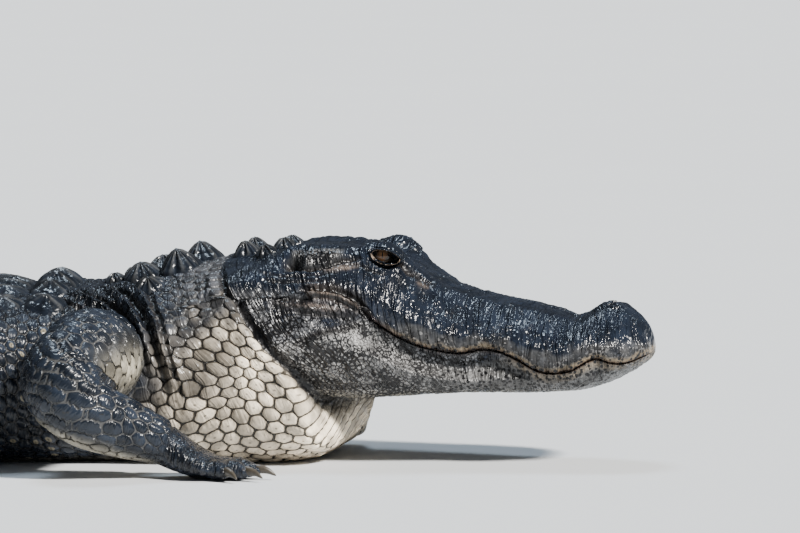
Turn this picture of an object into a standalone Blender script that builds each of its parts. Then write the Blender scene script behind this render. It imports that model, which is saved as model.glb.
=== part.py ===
"""American alligator, life size, lying on its belly with the head held just clear of the ground.

Metres, +Z up, +X towards the snout, +Y towards the animal's left side. The origin is on the flat of
the belly, under the middle of the trunk. "s" is the distance along the back, from the rear edge of the
skull: it grows towards the tail, and is negative on the head.
"""

import math

import bmesh
import bpy
import numpy as np
from mathutils import Vector

# Driving dimensions
HEAD_LENGTH = 0.411
TAIL_TIP = 3.10
TRUNK_MIDDLE = 0.67
NECK_TORSO = 0.240
TORSO_TAIL = 1.22
TAIL_CUTS = (1.8043, 2.4121)
GAP = 0.0003
HALF_GAP = GAP / 2
ROOT_GAP = 0.0004
SOCKET_GAP = 0.0008
MOUTH_GAP = 0.0012
EYE_S, EYE_Y, EYE_Z = -0.1010, 0.0505, 0.2380
EYE_RADIUS = 0.0142
EYE_OPENING = (0.0175, 0.0200, 0.0082)
BROW_Y, BROW_Z = 0.0460, 0.2365
BROW = (0.0250, 0.0220, 0.0180)

# The cup of the ear and the slit in front of it, as (x, height)
EAR = (0.000, 0.2300)
EAR_SLIT = [(-0.012, 0.2300), (0.006, 0.2265), (0.030, 0.2290), (0.056, 0.2345), (0.074, 0.2385)]

# The direction in which the spine points, in degrees from +X, along s
HEADING = [(-0.45, -10), (0.10, -10), (0.22, -6), (0.36, 0), (1.15, 0), (1.5, 9), (1.95, 24), (2.4, 20),
           (2.8, 2), (3.15, -14)]

# The plane that parts the head from the neck leans: it is further forward under the jaw
PARTING_Z, PARTING_LEAN = 0.110, 0.80

# Sizes of the head along x, forward from the rear edge of the skull
TOP = [(-0.12, 0.230), (-0.08, 0.236), (-0.03, 0.243), (0.00, 0.246), (0.04, 0.247), (0.075, 0.243),
       (0.10, 0.238), (0.125, 0.231), (0.146, 0.221), (0.175, 0.206), (0.216, 0.195), (0.263, 0.186),
       (0.298, 0.178), (0.319, 0.171), (0.335, 0.176), (0.350, 0.183), (0.366, 0.184), (0.384, 0.176),
       (0.398, 0.163), (0.407, 0.149), (0.411, 0.134)]
RIDGE_Y = [(-0.12, 0.055), (-0.02, 0.064), (0.03, 0.064), (0.07, 0.058), (0.10, 0.052), (0.13, 0.046),
           (0.175, 0.044), (0.25, 0.043), (0.31, 0.042), (0.35, 0.035), (0.38, 0.032), (0.400, 0.021),
           (0.408, 0.010), (0.411, 0.0)]
RIDGE_Z = [(-0.12, 0.222), (-0.03, 0.238), (0.00, 0.249), (0.04, 0.250), (0.075, 0.248), (0.10, 0.252),
           (0.125, 0.240), (0.146, 0.221), (0.175, 0.202), (0.216, 0.189), (0.263, 0.180), (0.298, 0.172),
           (0.319, 0.166), (0.350, 0.174), (0.366, 0.174), (0.384, 0.166), (0.398, 0.156), (0.407, 0.145),
           (0.411, 0.134)]
CHEEK_Y = [(-0.12, 0.118), (-0.05, 0.106), (0.00, 0.097), (0.05, 0.096), (0.08, 0.099), (0.10, 0.101),
           (0.15, 0.097), (0.20, 0.091), (0.25, 0.086), (0.30, 0.085), (0.325, 0.081), (0.35, 0.073),
           (0.378, 0.064), (0.395, 0.049), (0.406, 0.028), (0.411, 0.0)]
CHEEK_Z = [(-0.12, 0.200), (-0.05, 0.213), (0.00, 0.222), (0.05, 0.222), (0.08, 0.212), (0.10, 0.199),
           (0.15, 0.170), (0.20, 0.154), (0.25, 0.150), (0.30, 0.136), (0.35, 0.142), (0.378, 0.139),
           (0.397, 0.137), (0.411, 0.134)]
LIP_Y = [(-0.12, 0.130), (-0.05, 0.118), (0.00, 0.113), (0.05, 0.112), (0.08, 0.109), (0.10, 0.105),
         (0.15, 0.095), (0.20, 0.088), (0.25, 0.081), (0.30, 0.081), (0.325, 0.077), (0.35, 0.067),
         (0.378, 0.060), (0.395, 0.045), (0.406, 0.025), (0.411, 0.0)]
LIP_Z = [(-0.12, 0.185), (-0.04, 0.192), (0.00, 0.197), (0.03, 0.202), (0.05, 0.202), (0.07, 0.196),
         (0.085, 0.186), (0.10, 0.170), (0.122, 0.154), (0.15, 0.140), (0.18, 0.133), (0.20, 0.131),
         (0.22, 0.135), (0.243, 0.133), (0.268, 0.121), (0.285, 0.112), (0.308, 0.109), (0.325, 0.112),
         (0.350, 0.125), (0.366, 0.121), (0.383, 0.1195), (0.398, 0.124), (0.411, 0.132)]
JAW_Y = [(-0.12, 0.138), (-0.05, 0.137), (0.00, 0.135), (0.04, 0.133), (0.08, 0.125), (0.12, 0.113),
         (0.16, 0.101), (0.20, 0.088), (0.25, 0.077), (0.30, 0.071), (0.34, 0.062), (0.373, 0.050),
         (0.394, 0.036), (0.405, 0.019), (0.411, 0.0)]
JAW_Z = [(-0.12, 0.120), (0.00, 0.135), (0.05, 0.140), (0.10, 0.128), (0.15, 0.108), (0.20, 0.098),
         (0.25, 0.100), (0.30, 0.097), (0.35, 0.105), (0.375, 0.110), (0.393, 0.116), (0.411, 0.130)]
CHIN = [(-0.12, 0.070), (-0.05, 0.074), (0.00, 0.075), (0.10, 0.075), (0.20, 0.078), (0.30, 0.080),
        (0.331, 0.083), (0.354, 0.090), (0.375, 0.099), (0.395, 0.111), (0.411, 0.130)]
# How far the side of the lower jaw is set in under the lip, above the jowl
RECESS = [(-0.12, 0.0), (0.06, 0.0), (0.10, 0.008), (0.15, 0.013), (0.20, 0.011), (0.26, 0.006),
          (0.33, 0.002), (0.411, 0.0)]
JAW_BASE = 0.72
JAW_ROUND = 0.006

# Sizes of the neck, trunk and tail along s
HALF_WIDTH = [(-0.12, 0.120), (-0.06, 0.138), (0.00, 0.151), (0.06, 0.158), (0.12, 0.160), (0.20, 0.160),
              (0.30, 0.175), (0.45, 0.218), (0.67, 0.240), (0.90, 0.208), (1.07, 0.165), (1.20, 0.135),
              (1.40, 0.108), (1.70, 0.080), (2.10, 0.055), (2.50, 0.034), (2.90, 0.016), (3.10, 0.005)]
BACK = [(-0.12, 0.242), (-0.03, 0.246), (0.00, 0.246), (0.03, 0.243), (0.08, 0.234), (0.13, 0.222),
        (0.19, 0.209), (0.24, 0.200), (0.30, 0.197), (0.35, 0.198), (0.45, 0.220), (0.67, 0.261),
        (0.90, 0.252), (1.07, 0.232), (1.20, 0.212), (1.40, 0.184), (1.70, 0.150), (2.10, 0.112),
        (2.50, 0.076), (2.90, 0.040), (3.10, 0.014)]
WIDEST = [(-0.12, 0.120), (0.00, 0.100), (0.10, 0.095), (0.30, 0.090), (0.67, 0.105), (1.07, 0.095),
          (1.40, 0.075), (1.70, 0.060), (2.10, 0.045), (2.50, 0.030), (2.90, 0.016), (3.10, 0.006)]
BELLY = [(-0.12, 0.085), (-0.09, 0.062), (-0.06, 0.026), (-0.03, 0.004), (0.00, -0.004), (0.10, -0.006),
         (2.50, -0.006), (2.90, -0.003), (3.10, -0.001)]
FULLNESS = [(-0.12, 2.2), (0.20, 2.3), (0.50, 2.6), (1.10, 2.5), (1.40, 2.2), (3.10, 2.1)]
TAIL_TAPER = [(-0.12, 0.0), (1.10, 0.0), (1.40, 0.24), (1.80, 0.42), (3.10, 0.5)]
BELLY_FULLNESS = 3.0

# Scutes; the rows over the shoulders are lower than the rest, but for the first, and those on the left of the nape
# lie a little further forward than those on the right
SHOULDER_KEEL = (1.3, 0.5, 0.6, 0.8)
TRUNK_ROWS, TRUNK_FIRST, TRUNK_LAST = 17, 0.290, 1.172
SCUTE_LENGTH, SCUTE_WIDTH = 0.049, 0.045
SCUTE_STEP = 0.050
SCUTE_KEEL = (0.0125, 0.0115, 0.0095, 0.0080)
SCUTE_SINK = 0.006
NAPE_SCUTES = [(0.143, 0.030, 0.046, 0.046, 0.024), (0.188, 0.030, 0.044, 0.046, 0.017),
               (0.172, 0.080, 0.036, 0.030, 0.011), (0.222, 0.022, 0.024, 0.024, 0.009)]
NAPE_STAGGER = 0.016
SKULL_SCUTES = [(0.020, 0.020, 0.025, 0.024, 0.011), (0.036, 0.050, 0.024, 0.022, 0.010),
                (0.064, 0.026, 0.030, 0.026, 0.015)]
WHORL_START, PAIR_END, WHORL_END = 1.262, 2.14, 3.04
PAIRED_WHORLS, SINGLE_WHORLS = 18, 18

# Limbs, each point as (s, distance from the midline, height, half width, half height)
FORE_UPPER = [(0.235, 0.080, 0.116, 0.058, 0.050), (0.230, 0.145, 0.124, 0.060, 0.056),
              (0.236, 0.220, 0.124, 0.053, 0.055), (0.254, 0.278, 0.103, 0.045, 0.048),
              (0.226, 0.290, 0.081, 0.038, 0.042), (0.172, 0.272, 0.058, 0.033, 0.035),
              (0.120, 0.254, 0.040, 0.028, 0.026)]
FORE_FOOT = [(0.120, 0.254, 0.038, 0.026, 0.024), (0.100, 0.254, 0.028, 0.031, 0.021),
             (0.078, 0.254, 0.019, 0.040, 0.017), (0.052, 0.254, 0.012, 0.037, 0.012)]
FORE_TOES = [(0.030, -42, 0.044, True), (0.030, -20, 0.056, True), (0.026, 0, 0.062, True),
             (0.028, 20, 0.056, False), (0.030, 44, 0.044, False)]
HIND_UPPER = [(1.100, 0.060, 0.100, 0.090, 0.060), (1.070, 0.140, 0.110, 0.088, 0.068),
              (1.015, 0.220, 0.112, 0.075, 0.068), (0.955, 0.292, 0.112, 0.058, 0.062),
              (0.972, 0.345, 0.107, 0.047, 0.050), (1.030, 0.372, 0.094, 0.037, 0.037),
              (1.085, 0.382, 0.068, 0.030, 0.030), (1.122, 0.386, 0.030, 0.030, 0.026)]
HIND_HEEL = [(1.075, 0.380, 0.075, 0.030, 0.030), (1.100, 0.384, 0.053, 0.030, 0.029),
             (1.124, 0.388, 0.024, 0.028, 0.022)]
HIND_FOOT = [(1.138, 0.388, 0.018, 0.022, 0.017), (1.110, 0.394, 0.021, 0.036, 0.022),
             (1.070, 0.404, 0.019, 0.043, 0.020), (1.020, 0.418, 0.014, 0.048, 0.014),
             (0.985, 0.428, 0.010, 0.040, 0.010)]
# The ankle is parted by a plane that rises forwards, as (s, height, rise per metre)
ANKLE = (1.100, 0.046, 0.25)
HIND_TOES = [(0.036, -26, 0.070, True), (0.034, -8, 0.092, True), (0.034, 9, 0.096, True),
             (0.038, 27, 0.082, False)]
FORE_TOE_RADIUS, HIND_TOE_RADIUS = 0.0125, 0.0150
CLAW_LENGTH, CLAW_RADIUS = 0.021, 0.0055

# Colour, roughness and metallic value of each material
FINISHES = {
    "back_skin": ((0.045, 0.050, 0.060, 1), 0.45, 0.0),
    "jaw_skin": ((0.200, 0.190, 0.170, 1), 0.50, 0.0),
    "neck_skin": ((0.150, 0.140, 0.125, 1), 0.50, 0.0),
    "leg_skin": ((0.090, 0.095, 0.105, 1), 0.45, 0.0),
    "eye": ((0.110, 0.070, 0.040, 1), 0.08, 0.0),
}


def size_at(curve, x):
    """The size at x on a smooth curve through the pairs (place, size)."""
    places, sizes = np.array(curve, float).T
    slopes = np.gradient(sizes, places)
    x = np.clip(np.asarray(x, float), places[0], places[-1])
    i = np.clip(np.searchsorted(places, x) - 1, 0, len(places) - 2)
    span = places[i + 1] - places[i]
    t = (x - places[i]) / span
    rise = sizes[i + 1] - sizes[i]
    start, end = slopes[i] * span, slopes[i + 1] * span
    return sizes[i] + t * start + t * t * (3 * rise - 2 * start - end) + t**3 * (start + end - 2 * rise)


def head_size(curve, x):
    """The same for a size of the head, worked out along the root of the distance from the tip, to round the tip off."""
    rooted = [(-math.sqrt(HEAD_LENGTH - place), size) for place, size in curve]
    return size_at(rooted, -np.sqrt(np.maximum(HEAD_LENGTH - np.asarray(x, float), 0)))


def make_spine():
    """Returns places along s, and the spine's position and heading there, with the trunk's middle at the origin."""
    s = np.linspace(HEADING[0][0], HEADING[-1][0], 1801)
    turn = np.radians(size_at(HEADING, s))
    step = np.diff(s)
    x = -np.concatenate([[0], np.cumsum((np.cos(turn[1:]) + np.cos(turn[:-1])) / 2 * step)])
    y = -np.concatenate([[0], np.cumsum((np.sin(turn[1:]) + np.sin(turn[:-1])) / 2 * step)])
    return s, x - np.interp(TRUNK_MIDDLE, s, x), y - np.interp(TRUNK_MIDDLE, s, y), turn


SPINE = make_spine()


def to_world(s, side, z):
    """World positions from the distance along the back, the distance to the animal's left, and the height."""
    places, x, y, turn = SPINE
    here = np.interp(s, places, turn)
    px = np.interp(s, places, x) - np.sin(here) * side
    py = np.interp(s, places, y) + np.cos(here) * side
    return np.stack(np.broadcast_arrays(px, py, z), -1)


def forward(s):
    """The level direction towards the snout at s."""
    turn = float(np.interp(s, SPINE[0], SPINE[3]))
    return Vector((math.cos(turn), math.sin(turn), 0))


def through(points, t):
    """A smooth line through each row's points, (rows, points, 2), read at the shares t of its length."""
    steps = np.linalg.norm(np.diff(points, axis=1), axis=2) + 1e-7
    knots = np.concatenate([np.zeros((len(points), 1)), np.cumsum(steps, 1)], 1)
    knots /= knots[:, -1:]
    slopes = np.empty_like(points)
    slopes[:, 1:-1] = (points[:, 2:] - points[:, :-2]) / (knots[:, 2:] - knots[:, :-2])[..., None]
    slopes[:, 0] = (points[:, 1] - points[:, 0]) / knots[:, 1:2]
    slopes[:, -1] = (points[:, -1] - points[:, -2]) / (1 - knots[:, -2:-1])
    i = (t[None, :, None] >= knots[:, None, 1:-1]).sum(2)
    row = np.arange(len(points))[:, None]
    span = (knots[row, i + 1] - knots[row, i])
    u = ((t[None] - knots[row, i]) / span)[..., None]
    span = span[..., None]
    rise = points[row, i + 1] - points[row, i]
    start, end = slopes[row, i] * span, slopes[row, i + 1] * span
    return points[row, i] + u * start + u * u * (3 * rise - 2 * start - end) + u**3 * (start + end - 2 * rise)


def stack(*pairs):
    """Points (rows, points, 2) from pairs of (distance from the midline, height)."""
    return np.stack([np.stack(np.broadcast_arrays(*pair), -1) for pair in pairs], 1)


def upper_head(x, t):
    """The right-hand outline of the skull and upper jaw at each x, from the midline of the top to the lip."""
    top, ridge_y, ridge_z = head_size(TOP, x), head_size(RIDGE_Y, x), head_size(RIDGE_Z, x)
    cheek = head_size(CHEEK_Y, x), head_size(CHEEK_Z, x)
    lip = head_size(LIP_Y, x), head_size(LIP_Z, x)
    points = stack((0 * top, top), (0.55 * ridge_y, 0.6 * top + 0.4 * ridge_z), (ridge_y, ridge_z), cheek, lip)
    return through(points, t)


def lower_head(x, t):
    """The outline of the lower jaw at each x, from the lip to the midline of the chin."""
    lip_y, lip_z = head_size(LIP_Y, x), head_size(LIP_Z, x)
    jaw_y, jaw_z, chin = head_size(JAW_Y, x), head_size(JAW_Z, x), head_size(CHIN, x)
    recess = head_size(RECESS, x)
    inset = 0.35 * recess
    folded = (0.55 * lip_y + 0.45 * jaw_y - recess, 0.45 * lip_z + 0.55 * jaw_z)
    points = stack((lip_y - inset, lip_z), folded, (jaw_y, jaw_z),
                   (JAW_BASE * jaw_y, chin + JAW_ROUND), (0 * chin, chin))
    return through(points, t)


def body_outline(s, t):
    """The outline of the neck, trunk or tail at each s, from the midline of the back to that of the belly."""
    s = s[:, None]
    half, back, mid = size_at(HALF_WIDTH, s), size_at(BACK, s), size_at(WIDEST, s)
    belly, power, taper = size_at(BELLY, s), size_at(FULLNESS, s), size_at(TAIL_TAPER, s)
    angle = math.pi * t[None]
    upper = angle < math.pi / 2
    power = np.where(upper, power, BELLY_FULLNESS)
    across = half * np.sin(angle) ** (2 / power)
    rise = np.abs(np.cos(angle)) ** (2 / power)
    z = np.where(upper, mid + (back - mid) * rise, mid - (mid - belly) * rise)
    across = across * (1 - taper * np.where(upper, rise, 0))
    return np.stack([across, z], -1)


def both_sides(outline):
    """The whole ring of each row, from its right-hand outline, with the midline's points shared."""
    left = outline[:, 1:-1][:, ::-1]
    right = outline * (-1, 1)
    return np.concatenate([right, left], 1)


def face_out(solid):
    """Turns the faces of a closed body to point out."""
    bmesh.ops.recalc_face_normals(solid, faces=solid.faces)
    if solid.calc_volume(signed=True) < 0:
        bmesh.ops.reverse_faces(solid, faces=solid.faces)


def add_object(name, mesh, finish=None):
    """Links a new object with this mesh, with its faces pointing out."""
    solid = bmesh.new()
    solid.from_mesh(mesh)
    face_out(solid)
    solid.to_mesh(mesh)
    solid.free()
    obj = bpy.data.objects.new(name, mesh)
    if finish:
        mesh.materials.append(MATERIALS[finish])
    COLLECTION.objects.link(obj)
    return obj


def loft(name, rings, finish=None):
    """A closed body through rings of points (rings, points, 3), with a flat cap at each end."""
    count, around = rings.shape[:2]
    index = np.arange(count * around).reshape(count, around)
    after = np.roll(index, -1, 1)
    sides = np.stack([index[:-1], after[:-1], after[1:], index[1:]], -1).reshape(-1, 4)
    faces = [*sides.tolist(), index[0][::-1].tolist(), index[-1].tolist()]
    mesh = bpy.data.meshes.new(name)
    mesh.from_pydata(rings.reshape(-1, 3).tolist(), [], faces)
    solid = bmesh.new()
    solid.from_mesh(mesh)
    bmesh.ops.remove_doubles(solid, verts=solid.verts, dist=1e-5)
    bmesh.ops.dissolve_degenerate(solid, dist=1e-6, edges=solid.edges)
    solid.to_mesh(mesh)
    solid.free()
    return add_object(name, mesh, finish)


def ring_places(start, end, count, crowd=0.0):
    """Places from start to end; crowd above 0 brings them closer together towards the start."""
    t = np.linspace(0, 1, count)
    return start + (end - start) * (t + crowd * (t * t - t))


def body_part(name, start, end, count, around, finish):
    """A length of the neck, trunk or tail, with its underside flat where it meets the ground."""
    s = ring_places(start, end, count)
    ring = both_sides(body_outline(s, np.linspace(0, 1, around)))
    ring[..., 1] = np.maximum(ring[..., 1], 0)
    return loft(name, to_world(s[:, None], ring[..., 0], ring[..., 1]), finish)


def head_rings(x, outline, inner):
    """Rings of the head at each x, closed by the inner line of the mouth, (rows, points, 2)."""
    ring = both_sides(np.concatenate([outline, inner], 1))
    return to_world(-x[:, None], ring[..., 0], ring[..., 1])


def head_places():
    """Where the rings of the head lie, the same for both jaws so that their lips fit."""
    return np.concatenate([ring_places(HEAD_LENGTH - 0.0008, 0.376, 6, 0.75), ring_places(0.361, -0.115, 24)])


def make_head():
    """The skull and upper jaw down to the lip, closed by a flat palate."""
    x = head_places()
    outline = upper_head(x, np.linspace(0, 1, 12))
    lip = outline[:, -1:]
    palate = np.concatenate([lip * (0.72, 1), lip * (0.0, 1)], 1)
    return loft("head", head_rings(x, outline, palate), "back_skin")


def make_lower_jaw():
    """The lower jaw below the line of the mouth, with the jowl behind the corner."""
    x = head_places()
    outline = lower_head(x, np.linspace(0, 1, 9))[:, ::-1]
    drop = np.linspace(0, 1, 9)[None, :, None] ** 6 * (0, MOUTH_GAP)
    outline = outline - drop
    lip = outline[:, -1:]
    floor = np.concatenate([lip * (0.72, 1), lip * (0.0, 1)], 1)
    return loft("lower_jaw", head_rings(x, outline, floor), "jaw_skin")


def cut_by_plane(obj, place, normal):
    """Removes what lies on the normal's side of the plane, and closes the cut with one flat face."""
    solid = bmesh.new()
    solid.from_mesh(obj.data)
    geometry = [*solid.verts, *solid.edges, *solid.faces]
    bmesh.ops.bisect_plane(solid, geom=geometry, dist=1e-6, plane_co=place, plane_no=normal, clear_outer=True)
    bmesh.ops.holes_fill(solid, edges=[e for e in solid.edges if e.is_boundary])
    face_out(solid)
    solid.to_mesh(obj.data)
    solid.free()


def part_head_from_neck(obj, in_front):
    """Trims an object at the leaning plane between head and neck."""
    ahead = forward(0)
    place = Vector(to_world(0.0, 0.0, PARTING_Z)) + ahead * (HALF_GAP if in_front else -HALF_GAP)
    normal = (ahead + Vector((0, 0, PARTING_LEAN))).normalized()
    cut_by_plane(obj, place, -normal if in_front else normal)


def keep_largest(mesh):
    """Drops all but the closed surface with the most volume."""
    solid = bmesh.new()
    solid.from_mesh(mesh)
    left, groups = set(solid.verts), []
    while left:
        group, queue = set(), [next(iter(left))]
        while queue:
            vert = queue.pop()
            if vert in group:
                continue
            group.add(vert)
            queue += [e.other_vert(vert) for e in vert.link_edges]
        left -= group
        groups.append(group)
    size = [max(v.co.x for v in g) - min(v.co.x for v in g) + len(g) * 1e-6 for g in groups]
    keep = groups[size.index(max(size))]
    bmesh.ops.delete(solid, geom=[v for v in solid.verts if v not in keep], context="VERTS")
    solid.to_mesh(mesh)
    solid.free()


def applied(obj):
    """Replaces the object's mesh with the one that its modifiers make."""
    evaluated = obj.evaluated_get(bpy.context.evaluated_depsgraph_get())
    mesh = bpy.data.meshes.new_from_object(evaluated)
    obj.modifiers.clear()
    obj.data = mesh
    keep_largest(mesh)


def combine(obj, others, operation):
    """Joins the other closed objects to this one, or cuts them from it, and removes them."""
    group = bpy.data.collections.new(obj.name + "_" + operation.lower())
    bpy.context.scene.collection.children.link(group)
    for other in others:
        COLLECTION.objects.unlink(other)
        group.objects.link(other)
    modifier = obj.modifiers.new(operation.lower(), "BOOLEAN")
    modifier.operation = operation
    modifier.operand_type = "COLLECTION"
    modifier.collection = group
    modifier.solver = "MANIFOLD"
    bpy.context.view_layer.update()
    applied(obj)
    for other in others:
        bpy.data.objects.remove(other)
    bpy.data.collections.remove(group)


def hull(name, points):
    """The closed convex body round these points."""
    solid = bmesh.new()
    verts = [solid.verts.new(p) for p in points]
    made = bmesh.ops.convex_hull(solid, input=verts, use_existing_faces=False)
    unused = [g for g in {*made["geom_interior"], *made["geom_unused"]} if isinstance(g, bmesh.types.BMVert)]
    bmesh.ops.delete(solid, geom=unused, context="VERTS")
    mesh = bpy.data.meshes.new(name)
    solid.to_mesh(mesh)
    solid.free()
    return add_object(name, mesh)


def surface_frame(s, side, head=False):
    """Point, direction to the snout, direction to the left and outward normal, where the back is "side" from the midline."""
    t = np.linspace(0, 0.5, 201)

    def at(place, across):
        if head:
            outline = upper_head(np.array([-place]), t)[0]
        else:
            outline = body_outline(np.array([place]), t)[0]
        z = np.interp(abs(across), outline[:, 0], outline[:, 1])
        return Vector(to_world(place, across, z))

    step = 0.004
    here = at(s, side)
    along = (at(s - step, side) - at(s + step, side)).normalized()
    left = (at(s, side + step) - at(s, side - step)).normalized()
    out = along.cross(left).normalized()
    return here, along, out.cross(along), out


def scute(s, side, length, width, keel, lean=0.12, sink=SCUTE_SINK, head=False, corners=6):
    """A bony plate: six-sided or four-sided where it leaves the skin, rising to a keel, highest behind its middle."""
    here, along, left, out = surface_frame(s, side, head)
    spread = 1 + 0.45 * sink / keel
    rim = [(0.5, 0.30), (0.5, -0.30), (0.0, -0.5), (-0.5, -0.32), (-0.5, 0.32), (0.0, 0.5)]
    if corners == 4:
        rim = [(0.44, 0.40), (0.44, -0.40), (-0.46, -0.44), (-0.46, 0.44)]
    ridge = [(0.34, 0.30), (-lean, 1.0), (-0.42, 0.60)]
    points = [here + along * (a * length * spread) + left * (b * width * spread) - out * sink for a, b in rim]
    points += [here + along * (a * length) + out * (keel * h) for a, h in ridge]
    return hull("scute", points)


def trunk_scutes():
    """Rows of keeled scutes across the back: six in each row, and eight where the trunk is widest."""
    made = []
    random = np.random.default_rng(7)
    for row, s in enumerate(np.linspace(TRUNK_FIRST, TRUNK_LAST, TRUNK_ROWS)):
        tall = SHOULDER_KEEL[row] if row < len(SHOULDER_KEEL) else 1.0
        width = size_at(HALF_WIDTH, s) / 0.240
        share = 0.55 + 0.45 * width
        count = 4 if 0.42 < s < 0.98 else 3
        for i in range(count):
            for sign in (-1, 1):
                side = sign * SCUTE_STEP * share * (i + 0.5)
                vary = 1 + 0.06 * random.uniform(-1, 1)
                small = 0.84 if i == 3 else 1.0
                made.append(scute(s + 0.004 * i, side, SCUTE_LENGTH * small * vary,
                                  SCUTE_WIDTH * share * small, SCUTE_KEEL[i] * tall * vary,
                                  corners=6 if i < 1 else 4))
    return made


def paired_scutes(table, head=False, stagger=0.0):
    """A pair of plates for each row of the table: place, distance from the midline, length, width and height."""
    return [scute(s - stagger * (sign > 0), sign * side, length, width, keel, lean=0.05, head=head)
            for s, side, length, width, keel in table for sign in (-1, 1)]


def tail_scutes(start, end):
    """The crest of the tail between two places: a pair of tall blades in each whorl, then a single one."""
    made = []
    paired = np.linspace(WHORL_START, PAIR_END, PAIRED_WHORLS)
    single = np.linspace(PAIR_END + 0.046, WHORL_END, SINGLE_WHORLS)
    step = paired[1] - paired[0]
    for i, s in enumerate(paired):
        half = size_at(HALF_WIDTH, s) * (1 - size_at(TAIL_TAPER, s))
        apart = half * (0.62 - 0.022 * i)
        tall = 0.014 + 0.0010 * i
        if start < s < end:
            made += [scute(s, sign * apart, 0.80 * step, 0.018, tall, lean=0.30, corners=4) for sign in (-1, 1)]
            if i < 9:
                made += [scute(s, sign * (apart - 0.022), 0.76 * step, 0.018, 0.006, corners=4) for sign in (-1, 1)]
    for i, s in enumerate(single):
        tall = 0.034 * (1 - 0.55 * i / SINGLE_WHORLS)
        wide = min(0.012, 0.9 * float(size_at(HALF_WIDTH, s)))
        if start < s < end:
            made.append(scute(s, 0.0, 0.80 * step, wide, tall, lean=0.34, corners=4))
    return made


def tube(name, path, widths, heights, around, finish=None, ground=True):
    """A limb or toe: oval rings across a path of world points, flat below where they meet the ground."""
    path = np.array(path, float)
    along = np.gradient(path, axis=0)
    along /= np.linalg.norm(along, axis=1)[:, None]
    side = np.cross((0, 0, 1.0), along)
    side /= np.linalg.norm(side, axis=1)[:, None]
    up = np.cross(along, side)
    angle = np.linspace(0, 2 * math.pi, around, endpoint=False)[None, :, None]
    rings = (path[:, None] + side[:, None] * np.cos(angle) * np.array(widths)[:, None, None]
             + up[:, None] * np.sin(angle) * np.array(heights)[:, None, None])
    if ground:
        rings[..., 2] = np.maximum(rings[..., 2], 0)
    return loft(name, rings, finish)


def limb_path(points, sign, count):
    """World points and half sizes along a limb, from its list of (s, side, height, half width, half height)."""
    table = np.array(points)
    world = to_world(table[:, 0], sign * table[:, 1], table[:, 2])
    place = np.concatenate([[0], np.cumsum(np.linalg.norm(np.diff(world, axis=0), axis=1))])
    t = np.linspace(0, place[-1], count)
    columns = [size_at(list(zip(place, values)), t) for values in (*world.T, table[:, 3], table[:, 4])]
    return np.stack(columns[:3], 1), columns[3], columns[4]


def claw(base, direction, radius, length):
    """A claw that bends down from the toe's end to the ground."""
    points = [base + direction * (length * a) + Vector((0, 0, length * h))
              for a, h in ((-0.35, 0.10), (0.10, 0.12), (0.60, 0.01), (1.0, -0.22))]
    points = [Vector((p.x, p.y, max(p.z, 0.0012))) for p in points]
    sizes = [radius, radius * 0.95, radius * 0.60, radius * 0.14]
    return tube("claw", points, [0.8 * r for r in sizes], sizes, 5)


def foot(name, bones, toes, radius, sign, webbed):
    """A foot: the pad, its toes spread like a fan, claws on the first three, and webs on a hind foot."""
    path, widths, heights = limb_path(bones, sign, 6)
    pad = tube(name, path, widths, heights, 8, "leg_skin")
    end, before = Vector(path[-1]), Vector(path[-2])
    ahead = (end - before) * Vector((1, 1, 0))
    ahead.normalize()
    made, tips = [], []
    for spread, angle, length, clawed in toes:
        turn = math.radians(-angle * sign)
        way = Vector((ahead.x * math.cos(turn) - ahead.y * math.sin(turn),
                      ahead.x * math.sin(turn) + ahead.y * math.cos(turn), 0))
        root = end - ahead * 0.018 + way * (spread * 0.35)
        root -= way * 0.022
        reach = length + 0.022
        shares = (0.0, 0.45, 0.85, 1.0)
        heights_up = (0.95, 1.02, 0.86, 0.72)
        path = [root + way * (reach * a) + Vector((0, 0, radius * h - root.z)) for a, h in zip(shares, heights_up)]
        sizes = [radius * k for k in (1.0, 0.96, 0.80, 0.42)]
        made.append(tube("toe", path, sizes, [0.92 * r for r in sizes], 6))
        tips.append(root + way * (reach * 0.80))
        if clawed:
            made.append(claw(path[-1] - way * 0.002, way, CLAW_RADIUS, CLAW_LENGTH))
    if webbed:
        heel, widths, heights = limb_path(HIND_HEEL, sign, 4)
        made.append(tube("heel", heel, widths, heights, 8))
        for near, far in zip(tips, tips[1:]):
            low, high = 0.0, 0.006
            middle = near.lerp(far, 0.5).lerp(end, 0.30)
            points = [Vector((p.x, p.y, z)) for p in (end - ahead * 0.02, near, middle, far) for z in (low, high)]
            made.append(hull("web", points))
    combine(pad, made, "UNION")
    return pad


def part_foot(leg, made, path, webbed):
    """Parts the leg from the foot by a thin cut: square across the wrist, or by the plane of the ankle."""
    if webbed:
        ahead = forward(ANKLE[0])
        place = Vector(to_world(ANKLE[0], 0.0, ANKLE[1]))
        way = (ahead * ANKLE[2] - Vector((0, 0, 1))).normalized()
    else:
        place = Vector(path[-1])
        way = (place - Vector(path[-2])).normalized()
    cut_by_plane(leg, place - way * HALF_GAP, way)
    cut_by_plane(made, place + way * HALF_GAP, -way)


def grown(obj, distance):
    """A copy of a closed object with each point moved out by the distance."""
    solid = bmesh.new()
    solid.from_mesh(obj.data)
    bmesh.ops.triangulate(solid, faces=solid.faces)
    solid.to_mesh(obj.data)
    copy = obj.copy()
    copy.data = obj.data.copy()
    COLLECTION.objects.link(copy)
    solid.normal_update()
    for vert in solid.verts:
        vert.co += vert.normal * (distance * vert.calc_shell_factor())
    solid.to_mesh(copy.data)
    solid.free()
    return copy


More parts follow.
